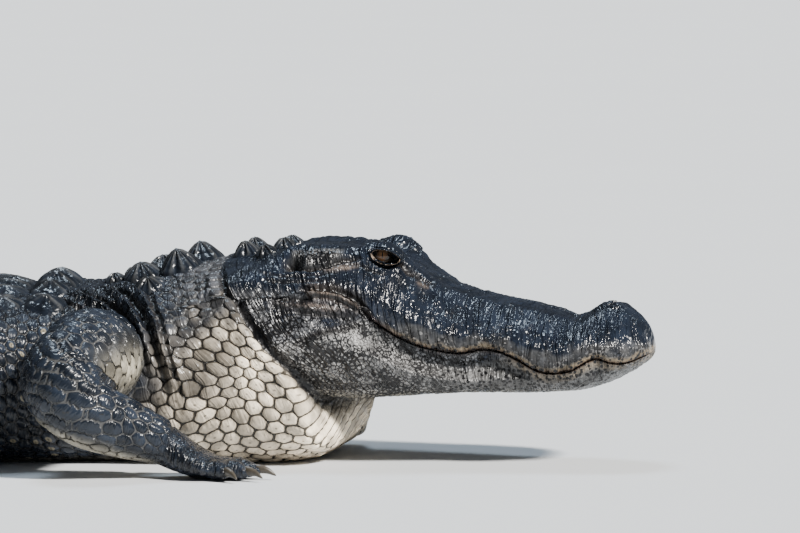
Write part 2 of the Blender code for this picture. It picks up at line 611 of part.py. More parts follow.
def make_leg(name, upper, bones, toes, radius, sign, webbed, hosts):
    """A leg down to the wrist or ankle, cut to fit the body, and its foot as a second piece."""
    path, widths, heights = limb_path(upper, sign, 14)
    leg = tube(name, path, widths, heights, 14, "leg_skin")
    made = foot(name.replace("leg", "foot"), bones, toes, radius, sign, webbed)
    part_foot(leg, made, path, webbed)
    combine(leg, [grown(host, ROOT_GAP) for host in hosts], "DIFFERENCE")


def ellipsoid(name, centre, radii, turn=0.0, segments=14, rings=8):
    """A closed ellipsoid in the head's own directions."""
    bpy.ops.mesh.primitive_uv_sphere_add(segments=segments, ring_count=rings, radius=1)
    ball = bpy.context.object
    ball.name = name
    mesh = ball.data
    for collection in list(ball.users_collection):
        collection.objects.unlink(ball)
    COLLECTION.objects.link(ball)
    ahead = forward(0)
    left = Vector((-ahead.y, ahead.x, 0))
    cos, sin = math.cos(turn), math.sin(turn)
    along = ahead * cos + Vector((0, 0, sin))
    up = Vector((0, 0, cos)) - ahead * sin
    for vert in mesh.vertices:
        x, y, z = vert.co
        vert.co = Vector(centre) + along * (x * radii[0]) + left * (y * radii[1]) + up * (z * radii[2])
    mesh.shade_smooth()
    return ball


def head_line(name, points, radius, around=6):
    """A tube through (x, side, height) points of the head, for a lid or for a groove."""
    path = [Vector(to_world(-x, side, z)) for x, side, z in points]
    sizes = [radius * k for k in (0.5, *([1.0] * (len(path) - 2)), 0.5)]
    return tube(name, path, sizes, sizes, around, ground=False)


def flank_at(x, z):
    """How far from the midline the side of the head has this height."""
    outline = upper_head(np.array([x]), np.linspace(0, 1, 201))[0]
    side = outline[outline[:, 1].argmax():]
    return float(np.interp(-z, -side[:, 1], side[:, 0]))


def lids(sign):
    """The rims of the upper and lower eyelid, each an arc from corner to corner over the eyeball."""
    made = []
    for lift, count in ((1, 8), (-1, 8)):
        t = np.linspace(0, math.pi, count)
        x = -EYE_S + EYE_OPENING[0] * 1.04 * np.cos(t)
        z = EYE_Z + lift * EYE_OPENING[2] * (1.10 if lift > 0 else 1.0) * np.sin(t)
        inside = 1 - ((x + EYE_S) / BROW[0]) ** 2 - ((z - BROW_Z) / BROW[2]) ** 2
        reach = BROW[1] * np.sqrt(np.maximum(inside, 0.05))
        points = [(a, sign * (BROW_Y + b), c) for a, b, c in zip(x, reach, z)]
        made.append(head_line("lid", points, 0.0032, 5))
    return made


def dress_head(head):
    """Adds the brows, lids and nostril rims, and cuts the sockets, ears and nostrils."""
    added, cut = [], []
    for sign in (-1, 1):
        eye = to_world(EYE_S, sign * EYE_Y, EYE_Z)
        added.append(ellipsoid("brow", to_world(EYE_S, sign * BROW_Y, BROW_Z), BROW, 0, 12, 8))
        added += lids(sign)
        added.append(ellipsoid("nostril_rim", to_world(-0.361, sign * 0.0140, 0.1755), (0.021, 0.0135, 0.0110), 0, 10, 6))
        cut.append(ellipsoid("socket", eye, (EYE_RADIUS + SOCKET_GAP,) * 3, segments=14, rings=8))
        opening = to_world(EYE_S, sign * (EYE_Y + 0.020), EYE_Z)
        cut.append(ellipsoid("opening", opening, EYE_OPENING, 0, 12, 6))
        cut.append(ellipsoid("nostril", to_world(-0.364, sign * 0.0145, 0.188), (0.0085, 0.0045, 0.0070), -0.3, 10, 6))
        cut.append(head_line("ear", [(x, sign * flank_at(x, z), z) for x, z in EAR_SLIT], 0.0042))
        hole = to_world(-EAR[0], sign * flank_at(*EAR), EAR[1])
        cut.append(ellipsoid("ear_cup", hole, (0.012, 0.0085, 0.0065), 0, 10, 6))
    combine(head, added, "UNION")
    combine(head, cut, "DIFFERENCE")


def eyeball(name, sign):
    """An eyeball, whole, in its socket."""
    ball = ellipsoid(name, to_world(EYE_S, sign * EYE_Y, EYE_Z), (EYE_RADIUS,) * 3, segments=12, rings=8)
    ball.data.materials.append(MATERIALS["eye"])
    return ball


def finish_material(name):
    """A Principled material with the named colour, roughness and metallic value."""
    colour, roughness, metallic = FINISHES[name]
    material = bpy.data.materials.new(name)
    material.use_nodes = True
    shader = material.node_tree.nodes["Principled BSDF"]
    shader.inputs["Base Color"].default_value = colour
    shader.inputs["Roughness"].default_value = roughness
    shader.inputs["Metallic"].default_value = metallic
    material.diffuse_color = colour
    return material


def make_body():
    """The neck, the trunk and three lengths of tail, parted by thin upright cuts."""
    neck = body_part("neck", -0.118, NECK_TORSO - HALF_GAP, 13, 16, "neck_skin")
    part_head_from_neck(neck, in_front=False)
    torso = body_part("torso", NECK_TORSO + HALF_GAP, TORSO_TAIL - HALF_GAP, 18, 14, "back_skin")
    ends = (TORSO_TAIL, *TAIL_CUTS, TAIL_TIP + HALF_GAP)
    tail = []
    for name, start, end, count in zip(("tail_base", "tail_middle", "tail_tip"), ends, ends[1:], (10, 10, 11)):
        tail.append(body_part(name, start + HALF_GAP, end - HALF_GAP, count, 11, "back_skin"))
    return neck, torso, tail


def main():
    head = make_head()
    jaw = make_lower_jaw()
    for obj in (head, jaw):
        part_head_from_neck(obj, in_front=True)
    dress_head(head)
    for name, sign in (("eye_right", -1), ("eye_left", 1)):
        eyeball(name, sign)
    neck, torso, tail = make_body()
    combine(head, paired_scutes(SKULL_SCUTES, head=True), "UNION")
    combine(neck, paired_scutes(NAPE_SCUTES, stagger=NAPE_STAGGER), "UNION")
    combine(torso, trunk_scutes(), "UNION")
    for side, sign in (("right", -1), ("left", 1)):
        make_leg("foreleg_" + side, FORE_UPPER, FORE_FOOT, FORE_TOES, FORE_TOE_RADIUS, sign, False, (neck, torso))
        make_leg("hindleg_" + side, HIND_UPPER, HIND_FOOT, HIND_TOES, HIND_TOE_RADIUS, sign, True, (torso,))
    ends = (TORSO_TAIL, *TAIL_CUTS, TAIL_TIP)
    for obj, start, end in zip(tail, ends, ends[1:]):
        combine(obj, tail_scutes(start, end), "UNION")
    for obj in COLLECTION.objects:
        obj.data.shade_smooth()
        obj.data.set_sharp_from_angle(angle=math.radians(40))


for old in list(bpy.data.objects):
    bpy.data.objects.remove(old)
MATERIALS = {name: finish_material(name) for name in FINISHES}
COLLECTION = bpy.data.collections.new("american_alligator")
bpy.context.scene.collection.children.link(COLLECTION)
main()
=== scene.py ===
"""American alligator, life size: skin, plates, legs, claws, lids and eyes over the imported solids.

Metres, +Z up, +X towards the snout, +Y towards the animal's left side. "s" is the distance along the back
from the rear edge of the skull, negative on the head, where x is the same distance forwards; "side" is the
distance from the spine to the animal's left.
"""

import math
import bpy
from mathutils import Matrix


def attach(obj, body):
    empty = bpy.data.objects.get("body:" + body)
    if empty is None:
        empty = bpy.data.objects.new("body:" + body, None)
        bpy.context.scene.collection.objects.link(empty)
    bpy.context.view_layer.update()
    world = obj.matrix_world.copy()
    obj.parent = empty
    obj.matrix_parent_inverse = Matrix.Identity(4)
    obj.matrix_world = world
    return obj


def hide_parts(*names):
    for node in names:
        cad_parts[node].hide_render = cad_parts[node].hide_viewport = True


bl_info = {
    "name": "American alligator",
    "version": (1, 0, 0),
    "blender": (4, 5, 0),
    "location": "View3D > Sidebar > Alligator",
    "description": "Builds the skin, plates, legs, claws and eyes of a life-size alligator",
    "category": "Object",
}

import bpy
import numpy as np
from bpy.props import FloatProperty, FloatVectorProperty, IntProperty, PointerProperty
from mathutils import Vector

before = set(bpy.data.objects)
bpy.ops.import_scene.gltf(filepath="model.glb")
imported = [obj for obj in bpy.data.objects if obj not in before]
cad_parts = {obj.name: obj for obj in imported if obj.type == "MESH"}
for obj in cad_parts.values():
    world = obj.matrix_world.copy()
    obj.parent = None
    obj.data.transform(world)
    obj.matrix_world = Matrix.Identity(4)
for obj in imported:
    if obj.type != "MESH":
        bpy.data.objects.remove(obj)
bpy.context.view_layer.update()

# Sizes of the head along x, forward from the rear edge of the skull
HEAD_LENGTH = 0.411
TOP = [(-0.12, 0.23), (-0.08, 0.236), (-0.03, 0.243), (0.0, 0.246), (0.04, 0.247), (0.075, 0.243),
       (0.1, 0.238), (0.125, 0.231), (0.146, 0.221), (0.175, 0.206), (0.216, 0.195), (0.263, 0.186),
       (0.298, 0.178), (0.319, 0.171), (0.335, 0.176), (0.35, 0.183), (0.366, 0.185), (0.384, 0.179),
       (0.398, 0.168), (0.407, 0.153), (0.411, 0.134)]
RIDGE_Y = [(-0.12, 0.055), (-0.02, 0.064), (0.03, 0.064), (0.07, 0.058), (0.1, 0.052), (0.13, 0.046),
           (0.175, 0.044), (0.25, 0.043), (0.31, 0.042), (0.35, 0.035), (0.38, 0.032), (0.4, 0.021),
           (0.408, 0.01), (0.411, 0.0)]
RIDGE_Z = [(-0.12, 0.222), (-0.03, 0.238), (0.0, 0.249), (0.04, 0.25), (0.075, 0.248), (0.1, 0.252),
           (0.125, 0.24), (0.146, 0.221), (0.175, 0.202), (0.216, 0.189), (0.263, 0.18), (0.298, 0.172),
           (0.319, 0.166), (0.35, 0.174), (0.366, 0.174), (0.384, 0.17), (0.398, 0.161), (0.407, 0.149),
           (0.411, 0.134)]
CHEEK_Y = [(-0.12, 0.118), (-0.05, 0.106), (0.0, 0.097), (0.05, 0.096), (0.08, 0.099), (0.1, 0.101),
           (0.15, 0.097), (0.2, 0.091), (0.25, 0.086), (0.3, 0.085), (0.325, 0.081), (0.35, 0.073),
           (0.378, 0.064), (0.395, 0.049), (0.406, 0.028), (0.411, 0.0)]
CHEEK_Z = [(-0.12, 0.2), (-0.05, 0.213), (0.0, 0.222), (0.05, 0.222), (0.08, 0.212), (0.1, 0.199),
           (0.15, 0.17), (0.2, 0.154), (0.25, 0.15), (0.3, 0.136), (0.35, 0.142), (0.378, 0.139),
           (0.397, 0.137), (0.411, 0.134)]
LIP_Y = [(-0.12, 0.13), (-0.05, 0.118), (0.0, 0.113), (0.05, 0.112), (0.08, 0.109), (0.1, 0.105),
         (0.15, 0.095), (0.2, 0.088), (0.25, 0.081), (0.3, 0.081), (0.325, 0.077), (0.35, 0.067),
         (0.378, 0.06), (0.395, 0.045), (0.406, 0.025), (0.411, 0.0)]
LIP_Z = [(-0.12, 0.185), (-0.04, 0.192), (0.0, 0.197), (0.03, 0.202), (0.05, 0.202), (0.07, 0.196),
         (0.085, 0.186), (0.1, 0.17), (0.122, 0.154), (0.15, 0.14), (0.18, 0.133), (0.2, 0.131),
         (0.22, 0.135), (0.243, 0.133), (0.268, 0.121), (0.285, 0.112), (0.308, 0.109), (0.325, 0.112),
         (0.35, 0.125), (0.366, 0.121), (0.383, 0.1195), (0.398, 0.124), (0.411, 0.132)]
JAW_Y = [(-0.12, 0.138), (-0.05, 0.137), (0.0, 0.135), (0.04, 0.133), (0.08, 0.125), (0.12, 0.113),
         (0.16, 0.101), (0.2, 0.088), (0.25, 0.077), (0.3, 0.071), (0.34, 0.062), (0.373, 0.05),
         (0.394, 0.036), (0.405, 0.019), (0.411, 0.0)]
JAW_Z = [(-0.12, 0.12), (0.0, 0.135), (0.05, 0.14), (0.1, 0.128), (0.15, 0.108), (0.2, 0.098), (0.25, 0.1),
         (0.3, 0.097), (0.35, 0.105), (0.375, 0.11), (0.393, 0.116), (0.411, 0.13)]
CHIN = [(-0.12, 0.07), (-0.05, 0.074), (0.0, 0.075), (0.1, 0.075), (0.2, 0.078), (0.3, 0.08),
        (0.331, 0.083), (0.354, 0.09), (0.375, 0.099), (0.395, 0.111), (0.411, 0.13)]
RECESS = [(-0.12, 0.0), (0.06, 0.0), (0.1, 0.008), (0.15, 0.013), (0.2, 0.011), (0.26, 0.006),
          (0.33, 0.002), (0.411, 0.0)]
MOUTH_CORNER, MOUTH_DEPTH = 0.090, 0.0085

# The eyeball's centre, the brow's swelling with its half sizes, and the almond between the lids: its
# middle, half sizes and slant down towards the snout, and how far the skin is sunk under it
EYE_X, EYE_Y, EYE_Z = 0.1010, 0.0505, 0.2380
BROW_Y, BROW_Z = 0.0460, 0.2365
BROW = (0.0245, 0.0215, 0.0178)
LID_X, LID_LONG, LID_TALL, EYE_SLANT = 0.1085, 0.0170, 0.0086, 0.26
SOCKET_LONG, SOCKET_TALL, SOCKET_DEPTH = 0.0178, 0.0094, 0.013

# The ear's pit and the nostril: middle, half sizes and depth, and the rim that swells round the nostril
EAR_X, EAR_Z, EAR_LONG, EAR_TALL, EAR_DEPTH = 0.003, 0.2318, 0.0115, 0.0066, 0.011
NOSTRIL_X, NOSTRIL_Y, NOSTRIL_LONG, NOSTRIL_WIDE, NOSTRIL_DEPTH = 0.3600, 0.0135, 0.0085, 0.0055, 0.0075
NOSTRIL_RIM, NOSTRIL_RIM_SIZES = (-0.361, 0.0140, 0.1755), (0.020, 0.0130, 0.0105)

# Sizes of the neck, trunk and tail along s
TAIL_TIP = 3.10
TRUNK_MIDDLE = 0.67
HEADING = [(-0.45, -10), (0.1, -10), (0.22, -6), (0.36, 0), (1.15, 0), (1.5, 9), (1.95, 24), (2.4, 20),
           (2.8, 2), (3.15, -14)]
HALF_WIDTH = [(-0.12, 0.12), (-0.06, 0.138), (0.0, 0.151), (0.06, 0.158), (0.12, 0.16), (0.2, 0.16),
              (0.3, 0.175), (0.45, 0.218), (0.67, 0.24), (0.9, 0.208), (1.07, 0.165), (1.2, 0.135),
              (1.4, 0.108), (1.7, 0.08), (2.1, 0.055), (2.5, 0.034), (2.9, 0.016), (3.1, 0.005)]
BACK = [(-0.12, 0.242), (-0.03, 0.246), (0.0, 0.246), (0.03, 0.243), (0.08, 0.234), (0.13, 0.222),
        (0.19, 0.209), (0.24, 0.2), (0.3, 0.197), (0.35, 0.198), (0.45, 0.22), (0.67, 0.261), (0.9, 0.252),
        (1.07, 0.232), (1.2, 0.212), (1.4, 0.184), (1.7, 0.15), (2.1, 0.112), (2.5, 0.076), (2.9, 0.04),
        (3.1, 0.014)]
WIDEST = [(-0.12, 0.12), (0.0, 0.1), (0.1, 0.095), (0.3, 0.09), (0.67, 0.105), (1.07, 0.095), (1.4, 0.075),
          (1.7, 0.06), (2.1, 0.045), (2.5, 0.03), (2.9, 0.016), (3.1, 0.006)]
BELLY = [(-0.12, 0.085), (-0.09, 0.062), (-0.06, 0.026), (-0.03, 0.004), (0.0, -0.004), (0.1, -0.006),
         (2.5, -0.006), (2.9, -0.003), (3.1, -0.001)]
FULLNESS = [(-0.12, 2.2), (0.20, 2.3), (0.50, 2.6), (1.10, 2.5), (1.40, 2.2), (3.10, 2.1)]
TAIL_TAPER = [(-0.12, 0.0), (1.10, 0.0), (1.40, 0.24), (1.80, 0.42), (3.10, 0.5)]
BELLY_FULLNESS = 3.0

# Scutes: place, distance from the midline, length, width and height; those on the nape's left lie further
# forward by the stagger. Their forms: how far behind its middle a keel is highest, and how broad it is
TRUNK_ROWS, TRUNK_FIRST, TRUNK_LAST = 17, 0.290, 1.172
SCUTE_LENGTH, SCUTE_WIDTH, SCUTE_STEP = 0.049, 0.045, 0.050
SCUTE_KEEL = (0.0125, 0.0115, 0.0095, 0.0080)
SHOULDER_KEEL = (1.3, 0.5, 0.6, 0.8)
NAPE_SCUTES = [(0.143, 0.03, 0.046, 0.046, 0.024), (0.188, 0.03, 0.044, 0.046, 0.017),
               (0.172, 0.08, 0.036, 0.03, 0.011), (0.222, 0.022, 0.024, 0.024, 0.009)]
NAPE_STAGGER = 0.016
SKULL_SCUTES = [(0.02, 0.02, 0.025, 0.024, 0.011), (0.036, 0.05, 0.024, 0.022, 0.01),
                (0.064, 0.026, 0.03, 0.026, 0.015)]
NAPE_FORM, TRUNK_FORM = (0.10, 0.9), (0.25, 0.35)
WHORL_START, PAIR_END, WHORL_END = 1.262, 2.14, 3.04
PAIRED_WHORLS, SINGLE_WHORLS = 18, 18
WHORL_STEP = (PAIR_END - WHORL_START) / (PAIRED_WHORLS - 1)
LOW_WHORLS = 9

# Every plate: how square its outline is, how far it reaches over its neighbours, how deep its rim is sunk
# in the skin, the height of its ribs, and the spokes from which those may be fine
PLATE_SQUARE, PLATE_OVERLAP, PLATE_SUNK, RIB_HEIGHT, FINE_SPOKES = 3.2, 1.10, 0.0045, 0.0021, 60

# Limbs, each point as (s, distance from the midline, height, half width, half height)
FORE_UPPER = [(0.235, 0.08, 0.116, 0.058, 0.05), (0.23, 0.145, 0.124, 0.06, 0.056),
              (0.236, 0.22, 0.124, 0.053, 0.055), (0.254, 0.278, 0.103, 0.045, 0.048),
              (0.226, 0.29, 0.081, 0.038, 0.042), (0.172, 0.272, 0.058, 0.033, 0.035),
              (0.12, 0.254, 0.04, 0.028, 0.026)]
FORE_FOOT = [(0.12, 0.254, 0.038, 0.026, 0.024), (0.1, 0.254, 0.028, 0.031, 0.021),
             (0.078, 0.254, 0.019, 0.04, 0.017), (0.052, 0.254, 0.012, 0.037, 0.012)]
FORE_TOES = [(0.03, -42, 0.044, True), (0.03, -20, 0.056, True), (0.026, 0, 0.062, True),
             (0.028, 20, 0.056, False), (0.03, 44, 0.044, False)]
HIND_UPPER = [(1.1, 0.06, 0.1, 0.09, 0.06), (1.07, 0.14, 0.11, 0.088, 0.068),
              (1.015, 0.22, 0.112, 0.075, 0.068), (0.955, 0.292, 0.112, 0.058, 0.062),
              (0.972, 0.345, 0.107, 0.047, 0.05), (1.03, 0.372, 0.094, 0.037, 0.037),
              (1.085, 0.382, 0.068, 0.03, 0.03), (1.122, 0.386, 0.03, 0.03, 0.026)]
HIND_HEEL = [(1.075, 0.38, 0.075, 0.03, 0.03), (1.1, 0.384, 0.053, 0.03, 0.029),
             (1.124, 0.388, 0.024, 0.028, 0.022)]
HIND_FOOT = [(1.138, 0.388, 0.018, 0.022, 0.017), (1.11, 0.394, 0.021, 0.036, 0.022),
             (1.07, 0.404, 0.019, 0.043, 0.02), (1.02, 0.418, 0.014, 0.048, 0.014),
             (0.985, 0.428, 0.01, 0.04, 0.01)]
HIND_TOES = [(0.036, -26, 0.07, True), (0.034, -8, 0.092, True), (0.034, 9, 0.096, True),
             (0.038, 27, 0.082, False)]
FORE_TOE_RADIUS, HIND_TOE_RADIUS = 0.0125, 0.0150
# How far a toe's root lies inside the pad, and the webs: share of the toes that they reach, hang and
# thickness
TOE_ROOT, WEB_REACH, WEB_HANG, WEB_THICK = 0.022, 0.80, 0.30, 0.0062

# The skin's grid: columns from the midline of the back to that of the belly, with the mouth's fold among
# them; the crease behind the head and how it leans; the size of the neck's plates, and what makes them
# uneven, as a share of a plate and a size
HALF_COLUMNS, LIP_COLUMN, GUM_COLUMN = 200, 112, 120
CREASE = 0.012
PLATE_ROUND, PLATE_ALONG = 0.0172, 0.0168
PLATE_WAVERS = [(0.70, 0.060), (0.20, 0.019)]
CREASE_LEAN = [(0.0, -0.075), (0.36, -0.073), (0.56, -0.055), (0.625, -0.039), (0.715, 0.0), (0.775, 0.03),
               (0.9, 0.062), (1.0, 0.095)]

# Steps between the skin's rings, each up to its place along s; round the snout's tip they are steps of
# the root of the distance from it, and the tip is set back to stay within the solids
TIP_START, TIP_END, TIP_STEP = 0.002, 0.19, 0.0040
TIP_SET_BACK = 0.0006
RING_STEPS = [(0.06, 0.0015), (0.42, 0.0019), (1.22, 0.0030), (2.0, 0.0036), (TAIL_TIP - 0.0004, 0.0040)]

# Six-sided plates: the height of a row for plates one wide, and how far their form leans towards a circle
ROW_HEIGHT, PLATE_ROUNDING = math.sqrt(0.75), 0.35

# Further than any distance that is compared with it
FAR = 9.0


def size_at(curve, x):
    """The size at x on a smooth curve through the pairs (place, size), a cubic between each two."""
    places, sizes = np.array(curve, float).T
    slopes = np.gradient(sizes, places)
    x = np.clip(np.asarray(x, float), places[0], places[-1])
    i = np.clip(np.searchsorted(places, x) - 1, 0, len(places) - 2)
    span = places[i + 1] - places[i]
    t = (x - places[i]) / span
    rise = sizes[i + 1] - sizes[i]
    start, end = slopes[i] * span, slopes[i + 1] * span
    return sizes[i] + t * start + t * t * (3 * rise - 2 * start - end) + t**3 * (start + end - 2 * rise)


def head_size(curve, x):
    """The same for a size of the head, along the root of the distance from the tip, which rounds the tip
    off."""
    rooted = [(-math.sqrt(HEAD_LENGTH - place), size) for place, size in curve]
    return size_at(rooted, -np.sqrt(np.maximum(HEAD_LENGTH - np.asarray(x, float), 0)))


def make_spine():
    """Places along s with the spine's position and heading there: the heading summed up along s."""
    s = np.linspace(HEADING[0][0], HEADING[-1][0], 1801)
    turn = np.radians(size_at(HEADING, s))
    step = np.diff(s)
    x = -np.concatenate([[0], np.cumsum((np.cos(turn[1:]) + np.cos(turn[:-1])) / 2 * step)])
    y = -np.concatenate([[0], np.cumsum((np.sin(turn[1:]) + np.sin(turn[:-1])) / 2 * step)])
    return s, x - np.interp(TRUNK_MIDDLE, s, x), y - np.interp(TRUNK_MIDDLE, s, y), turn


SPINE = make_spine()


def to_world(s, side, z):
    """World positions: the spine's point at s, moved by "side" square to the heading, at the height z."""
    places, x, y, turn = SPINE
    here = np.interp(s, places, turn)
    px = np.interp(s, places, x) - np.sin(here) * side
    py = np.interp(s, places, y) + np.cos(here) * side
    return np.stack(np.broadcast_arrays(px, py, z), -1)


def ease(x, start, end):
    """0 before start, 1 after end, and an even S curve between them."""
    t = np.clip((x - start) / (end - start), 0, 1)
    return t * t * (3 - 2 * t)


def window(x, start, full, leave, end):
    """1 between full and leave, fading to 0 at start and at end."""
    return ease(x, start, full) * (1 - ease(x, leave, end))


def bell(x, centre, width):
    """A bell curve of height 1."""
    return np.exp(-(((x - centre) / width) ** 2))


def through(points, t):
    """A smooth line through each row of points, (n, points, 2), read at each row's own share t of its
    length."""
    steps = np.linalg.norm(np.diff(points, axis=1), axis=2) + 1e-7
    knots = np.concatenate([np.zeros((len(points), 1)), np.cumsum(steps, 1)], 1)
    knots /= knots[:, -1:]
    slopes = np.empty_like(points)
    slopes[:, 1:-1] = (points[:, 2:] - points[:, :-2]) / (knots[:, 2:] - knots[:, :-2])[..., None]
    slopes[:, 0] = (points[:, 1] - points[:, 0]) / knots[:, 1:2]
    slopes[:, -1] = (points[:, -1] - points[:, -2]) / (1 - knots[:, -2:-1])
    i = (t[:, None] >= knots[:, 1:-1]).sum(1)
    row = np.arange(len(points))
    span = (knots[row, i + 1] - knots[row, i])[:, None]
    u = (t - knots[row, i])[:, None] / span
    rise = points[row, i + 1] - points[row, i]
    start, end = slopes[row, i] * span, slopes[row, i + 1] * span
    return points[row, i] + u * start + u * u * (3 * rise - 2 * start - end) + u**3 * (start + end - 2 * rise)


def stack(*pairs):
    """Points (n, points, 2) from pairs of (distance from the midline, height)."""
    return np.stack([np.stack(np.broadcast_arrays(*pair), -1) for pair in pairs], 1)


def upper_head(x, t):
    """The outline of the skull and upper jaw at each x, from the midline of the top, t = 0, to the lip, t =
    1."""
    top, ridge_y, ridge_z = head_size(TOP, x), head_size(RIDGE_Y, x), head_size(RIDGE_Z, x)
    cheek = head_size(CHEEK_Y, x), head_size(CHEEK_Z, x)
    lip = head_size(LIP_Y, x), head_size(LIP_Z, x)
    shoulder = 0.55 * ridge_y, 0.6 * top + 0.4 * ridge_z
    points = stack((0 * top, top), shoulder, (ridge_y, ridge_z), cheek, lip)
    return through(points, t)


def lower_head(x, t):
    """The outline of the lower jaw at each x, from the lip, t = 0, to the midline of the chin, t = 1."""
    lip_y, lip_z = head_size(LIP_Y, x), head_size(LIP_Z, x)
    jaw_y, jaw_z, chin = head_size(JAW_Y, x), head_size(JAW_Z, x), head_size(CHIN, x)
    recess = head_size(RECESS, x)
    folded = (0.55 * lip_y + 0.45 * jaw_y - recess, 0.45 * lip_z + 0.55 * jaw_z)
    points = stack((lip_y - 0.35 * recess, lip_z), folded, (jaw_y, jaw_z), (0.72 * jaw_y, chin + 0.006),
                   (0 * chin, chin))
    return through(points, t)


def body_outline(s, t):
    """A squared oval at each s, from the midline of the back, t = 0, to that of the belly, t = 1; narrower
    above on the tail."""
    half, back, mid = size_at(HALF_WIDTH, s), size_at(BACK, s), size_at(WIDEST, s)
    belly, power, taper = size_at(BELLY, s), size_at(FULLNESS, s), size_at(TAIL_TAPER, s)
    angle = math.pi * t
    upper = angle < math.pi / 2
    power = np.where(upper, power, BELLY_FULLNESS)
    across = half * np.sin(angle) ** (2 / power)
    rise = np.abs(np.cos(angle)) ** (2 / power)
    z = np.where(upper, mid + (back - mid) * rise, mid - (mid - belly) * rise)
    return np.stack([across * (1 - taper * np.where(upper, rise, 0)), z], -1)


def hashed(a, b, seed):
    """A number from 0 to 1 that looks random, for each pair of whole numbers."""
    value = np.sin(a * 127.1 + b * 311.7 + seed * 74.7) * 43758.5453
    return value - np.floor(value)


def clouds(p, q, seed, octaves=3):
    """Soft noise from 0 to 1: random values on whole places, eased between them, in ever finer sheets."""
    total, weight = 0.0, 0.0
    for octave in range(octaves):
        k = 2.0**octave
        a, b = p * k, q * k
        i, j = np.floor(a), np.floor(b)
        u, v = ease(a - i, 0, 1), ease(b - j, 0, 1)
        low = hashed(i, j, seed + octave) * (1 - u) + hashed(i + 1, j, seed + octave) * u
        high = hashed(i, j + 1, seed + octave) * (1 - u) + hashed(i + 1, j + 1, seed + octave) * u
        total = total + (low * (1 - v) + high * v) / k
        weight += 1 / k
    return total / weight


def hexes(p, q):
    """Six-sided plates with round corners in rows one apart, every second row set over by half: the
    distance in from the edge of the plate at each place, 0 to 0.5."""
    a0, b0 = p - np.round(p), (q - 2 * np.round(q / 2)) * ROW_HEIGHT
    a1, b1 = p - 0.5 - np.round(p - 0.5), (q - 1 - 2 * np.round((q - 1) / 2)) * ROW_HEIGHT
    first = a0**2 + b0**2 < a1**2 + b1**2
    a, b = np.where(first, a0, a1), np.where(first, b0, b1)
    sides = np.maximum(np.abs(a), 0.5 * np.abs(a) + ROW_HEIGHT * np.abs(b))
    return 0.5 - (1 - PLATE_ROUNDING) * sides - PLATE_ROUNDING * np.hypot(a, b)


def cells(p, q, jitter, seed):
    """Scales as the regions round jittered points, one in each unit square, every second row set over by
    half: the distance from the point, and the distance in from the edge."""
    row = np.floor(q)
    best, second = np.full(p.shape, FAR), np.full(p.shape, FAR)
    for dq in (-1, 0, 1):
        r = row + dq
        shifted = p - 0.5 * (r % 2)
        column = np.floor(shifted)
        for dp in (-1, 0, 1):
            c = column + dp
            x = c + 0.5 + jitter * (hashed(c, r, seed) - 0.5)
            y = r + 0.5 + jitter * (hashed(c, r, seed + 1) - 0.5)
            d = np.hypot(shifted - x, q - y)
            second = np.where(d < best, best, np.minimum(second, d))
            best = np.minimum(best, d)
    return best, second - best


def scales(p, q, jitter, seed, groove=0.16, dome=0.5):
    """A plate for each cell: 0 in the grooves, rising within "groove" of the edge, and domed towards its
    middle."""
    near, edge = cells(p, q, jitter, seed)
    return ease(edge, 0.0, groove) * (1 - dome + dome * np.clip(1 - 2.2 * near * near, 0, 1))


def wrinkles(p, q, seed):
    """Fine folds from 0 to 1 that run along q: soft noise whose middle value is a crest, over a finer
    sheet."""
    sway = 0.9 * (clouds(p / 4, q / 2, seed + 7, 2) - 0.5)
    broad = 1 - np.abs(2 * clouds(p + 2 * sway, q + sway, seed, 2) - 1)
    thin = 1 - np.abs(2 * clouds(2.3 * p - sway, 1.7 * q, seed + 3, 2) - 1)
    return 0.65 * broad**1.5 + 0.35 * thin**1.5


def stroke(x, z, points, width, fade=0.12):
    """How near each place is to a smooth line through the points: a bell curve of this width across the line,
    fading towards both of its ends."""
    points = np.array(points, float)
    knots = np.linspace(0, 1, len(points))
    t = np.linspace(0, 1, 6 * len(points))
    line = np.stack([size_at(list(zip(knots, points[:, k])), t) for k in (0, 1)], 1)
    reach = 3 * width
    near = ((x > line[:, 0].min() - reach) & (x < line[:, 0].max() + reach)
            & (z > line[:, 1].min() - reach) & (z < line[:, 1].max() + reach))
    place = np.stack([x[near], z[near]], -1)
    best, at = np.full(len(place), FAR), np.zeros(len(place))
    for k in range(len(line) - 1):
        step = line[k + 1] - line[k]
        share = np.clip(((place - line[k]) @ step) / (step @ step), 0, 1)
        d = np.linalg.norm(place - line[k] - share[:, None] * step, axis=1)
        at = np.where(d < best, t[k] + share * (t[k + 1] - t[k]), at)
        best = np.minimum(best, d)
    result = np.zeros(x.shape)
    result[near] = np.exp(-((best / width) ** 2)) * np.clip(np.minimum(at, 1 - at) / fade, 0, 1) ** 0.5
    return result


def grid_normals(points):
    """Unit normals of a ring grid, (rows, columns, 3): the cross product of its two directions."""
    along = np.gradient(points, axis=0)
    around = np.roll(points, -1, 1) - np.roll(points, 1, 1)
    normal = np.cross(along, around)
    return normal / (np.linalg.norm(normal, axis=2, keepdims=True) + 1e-12)


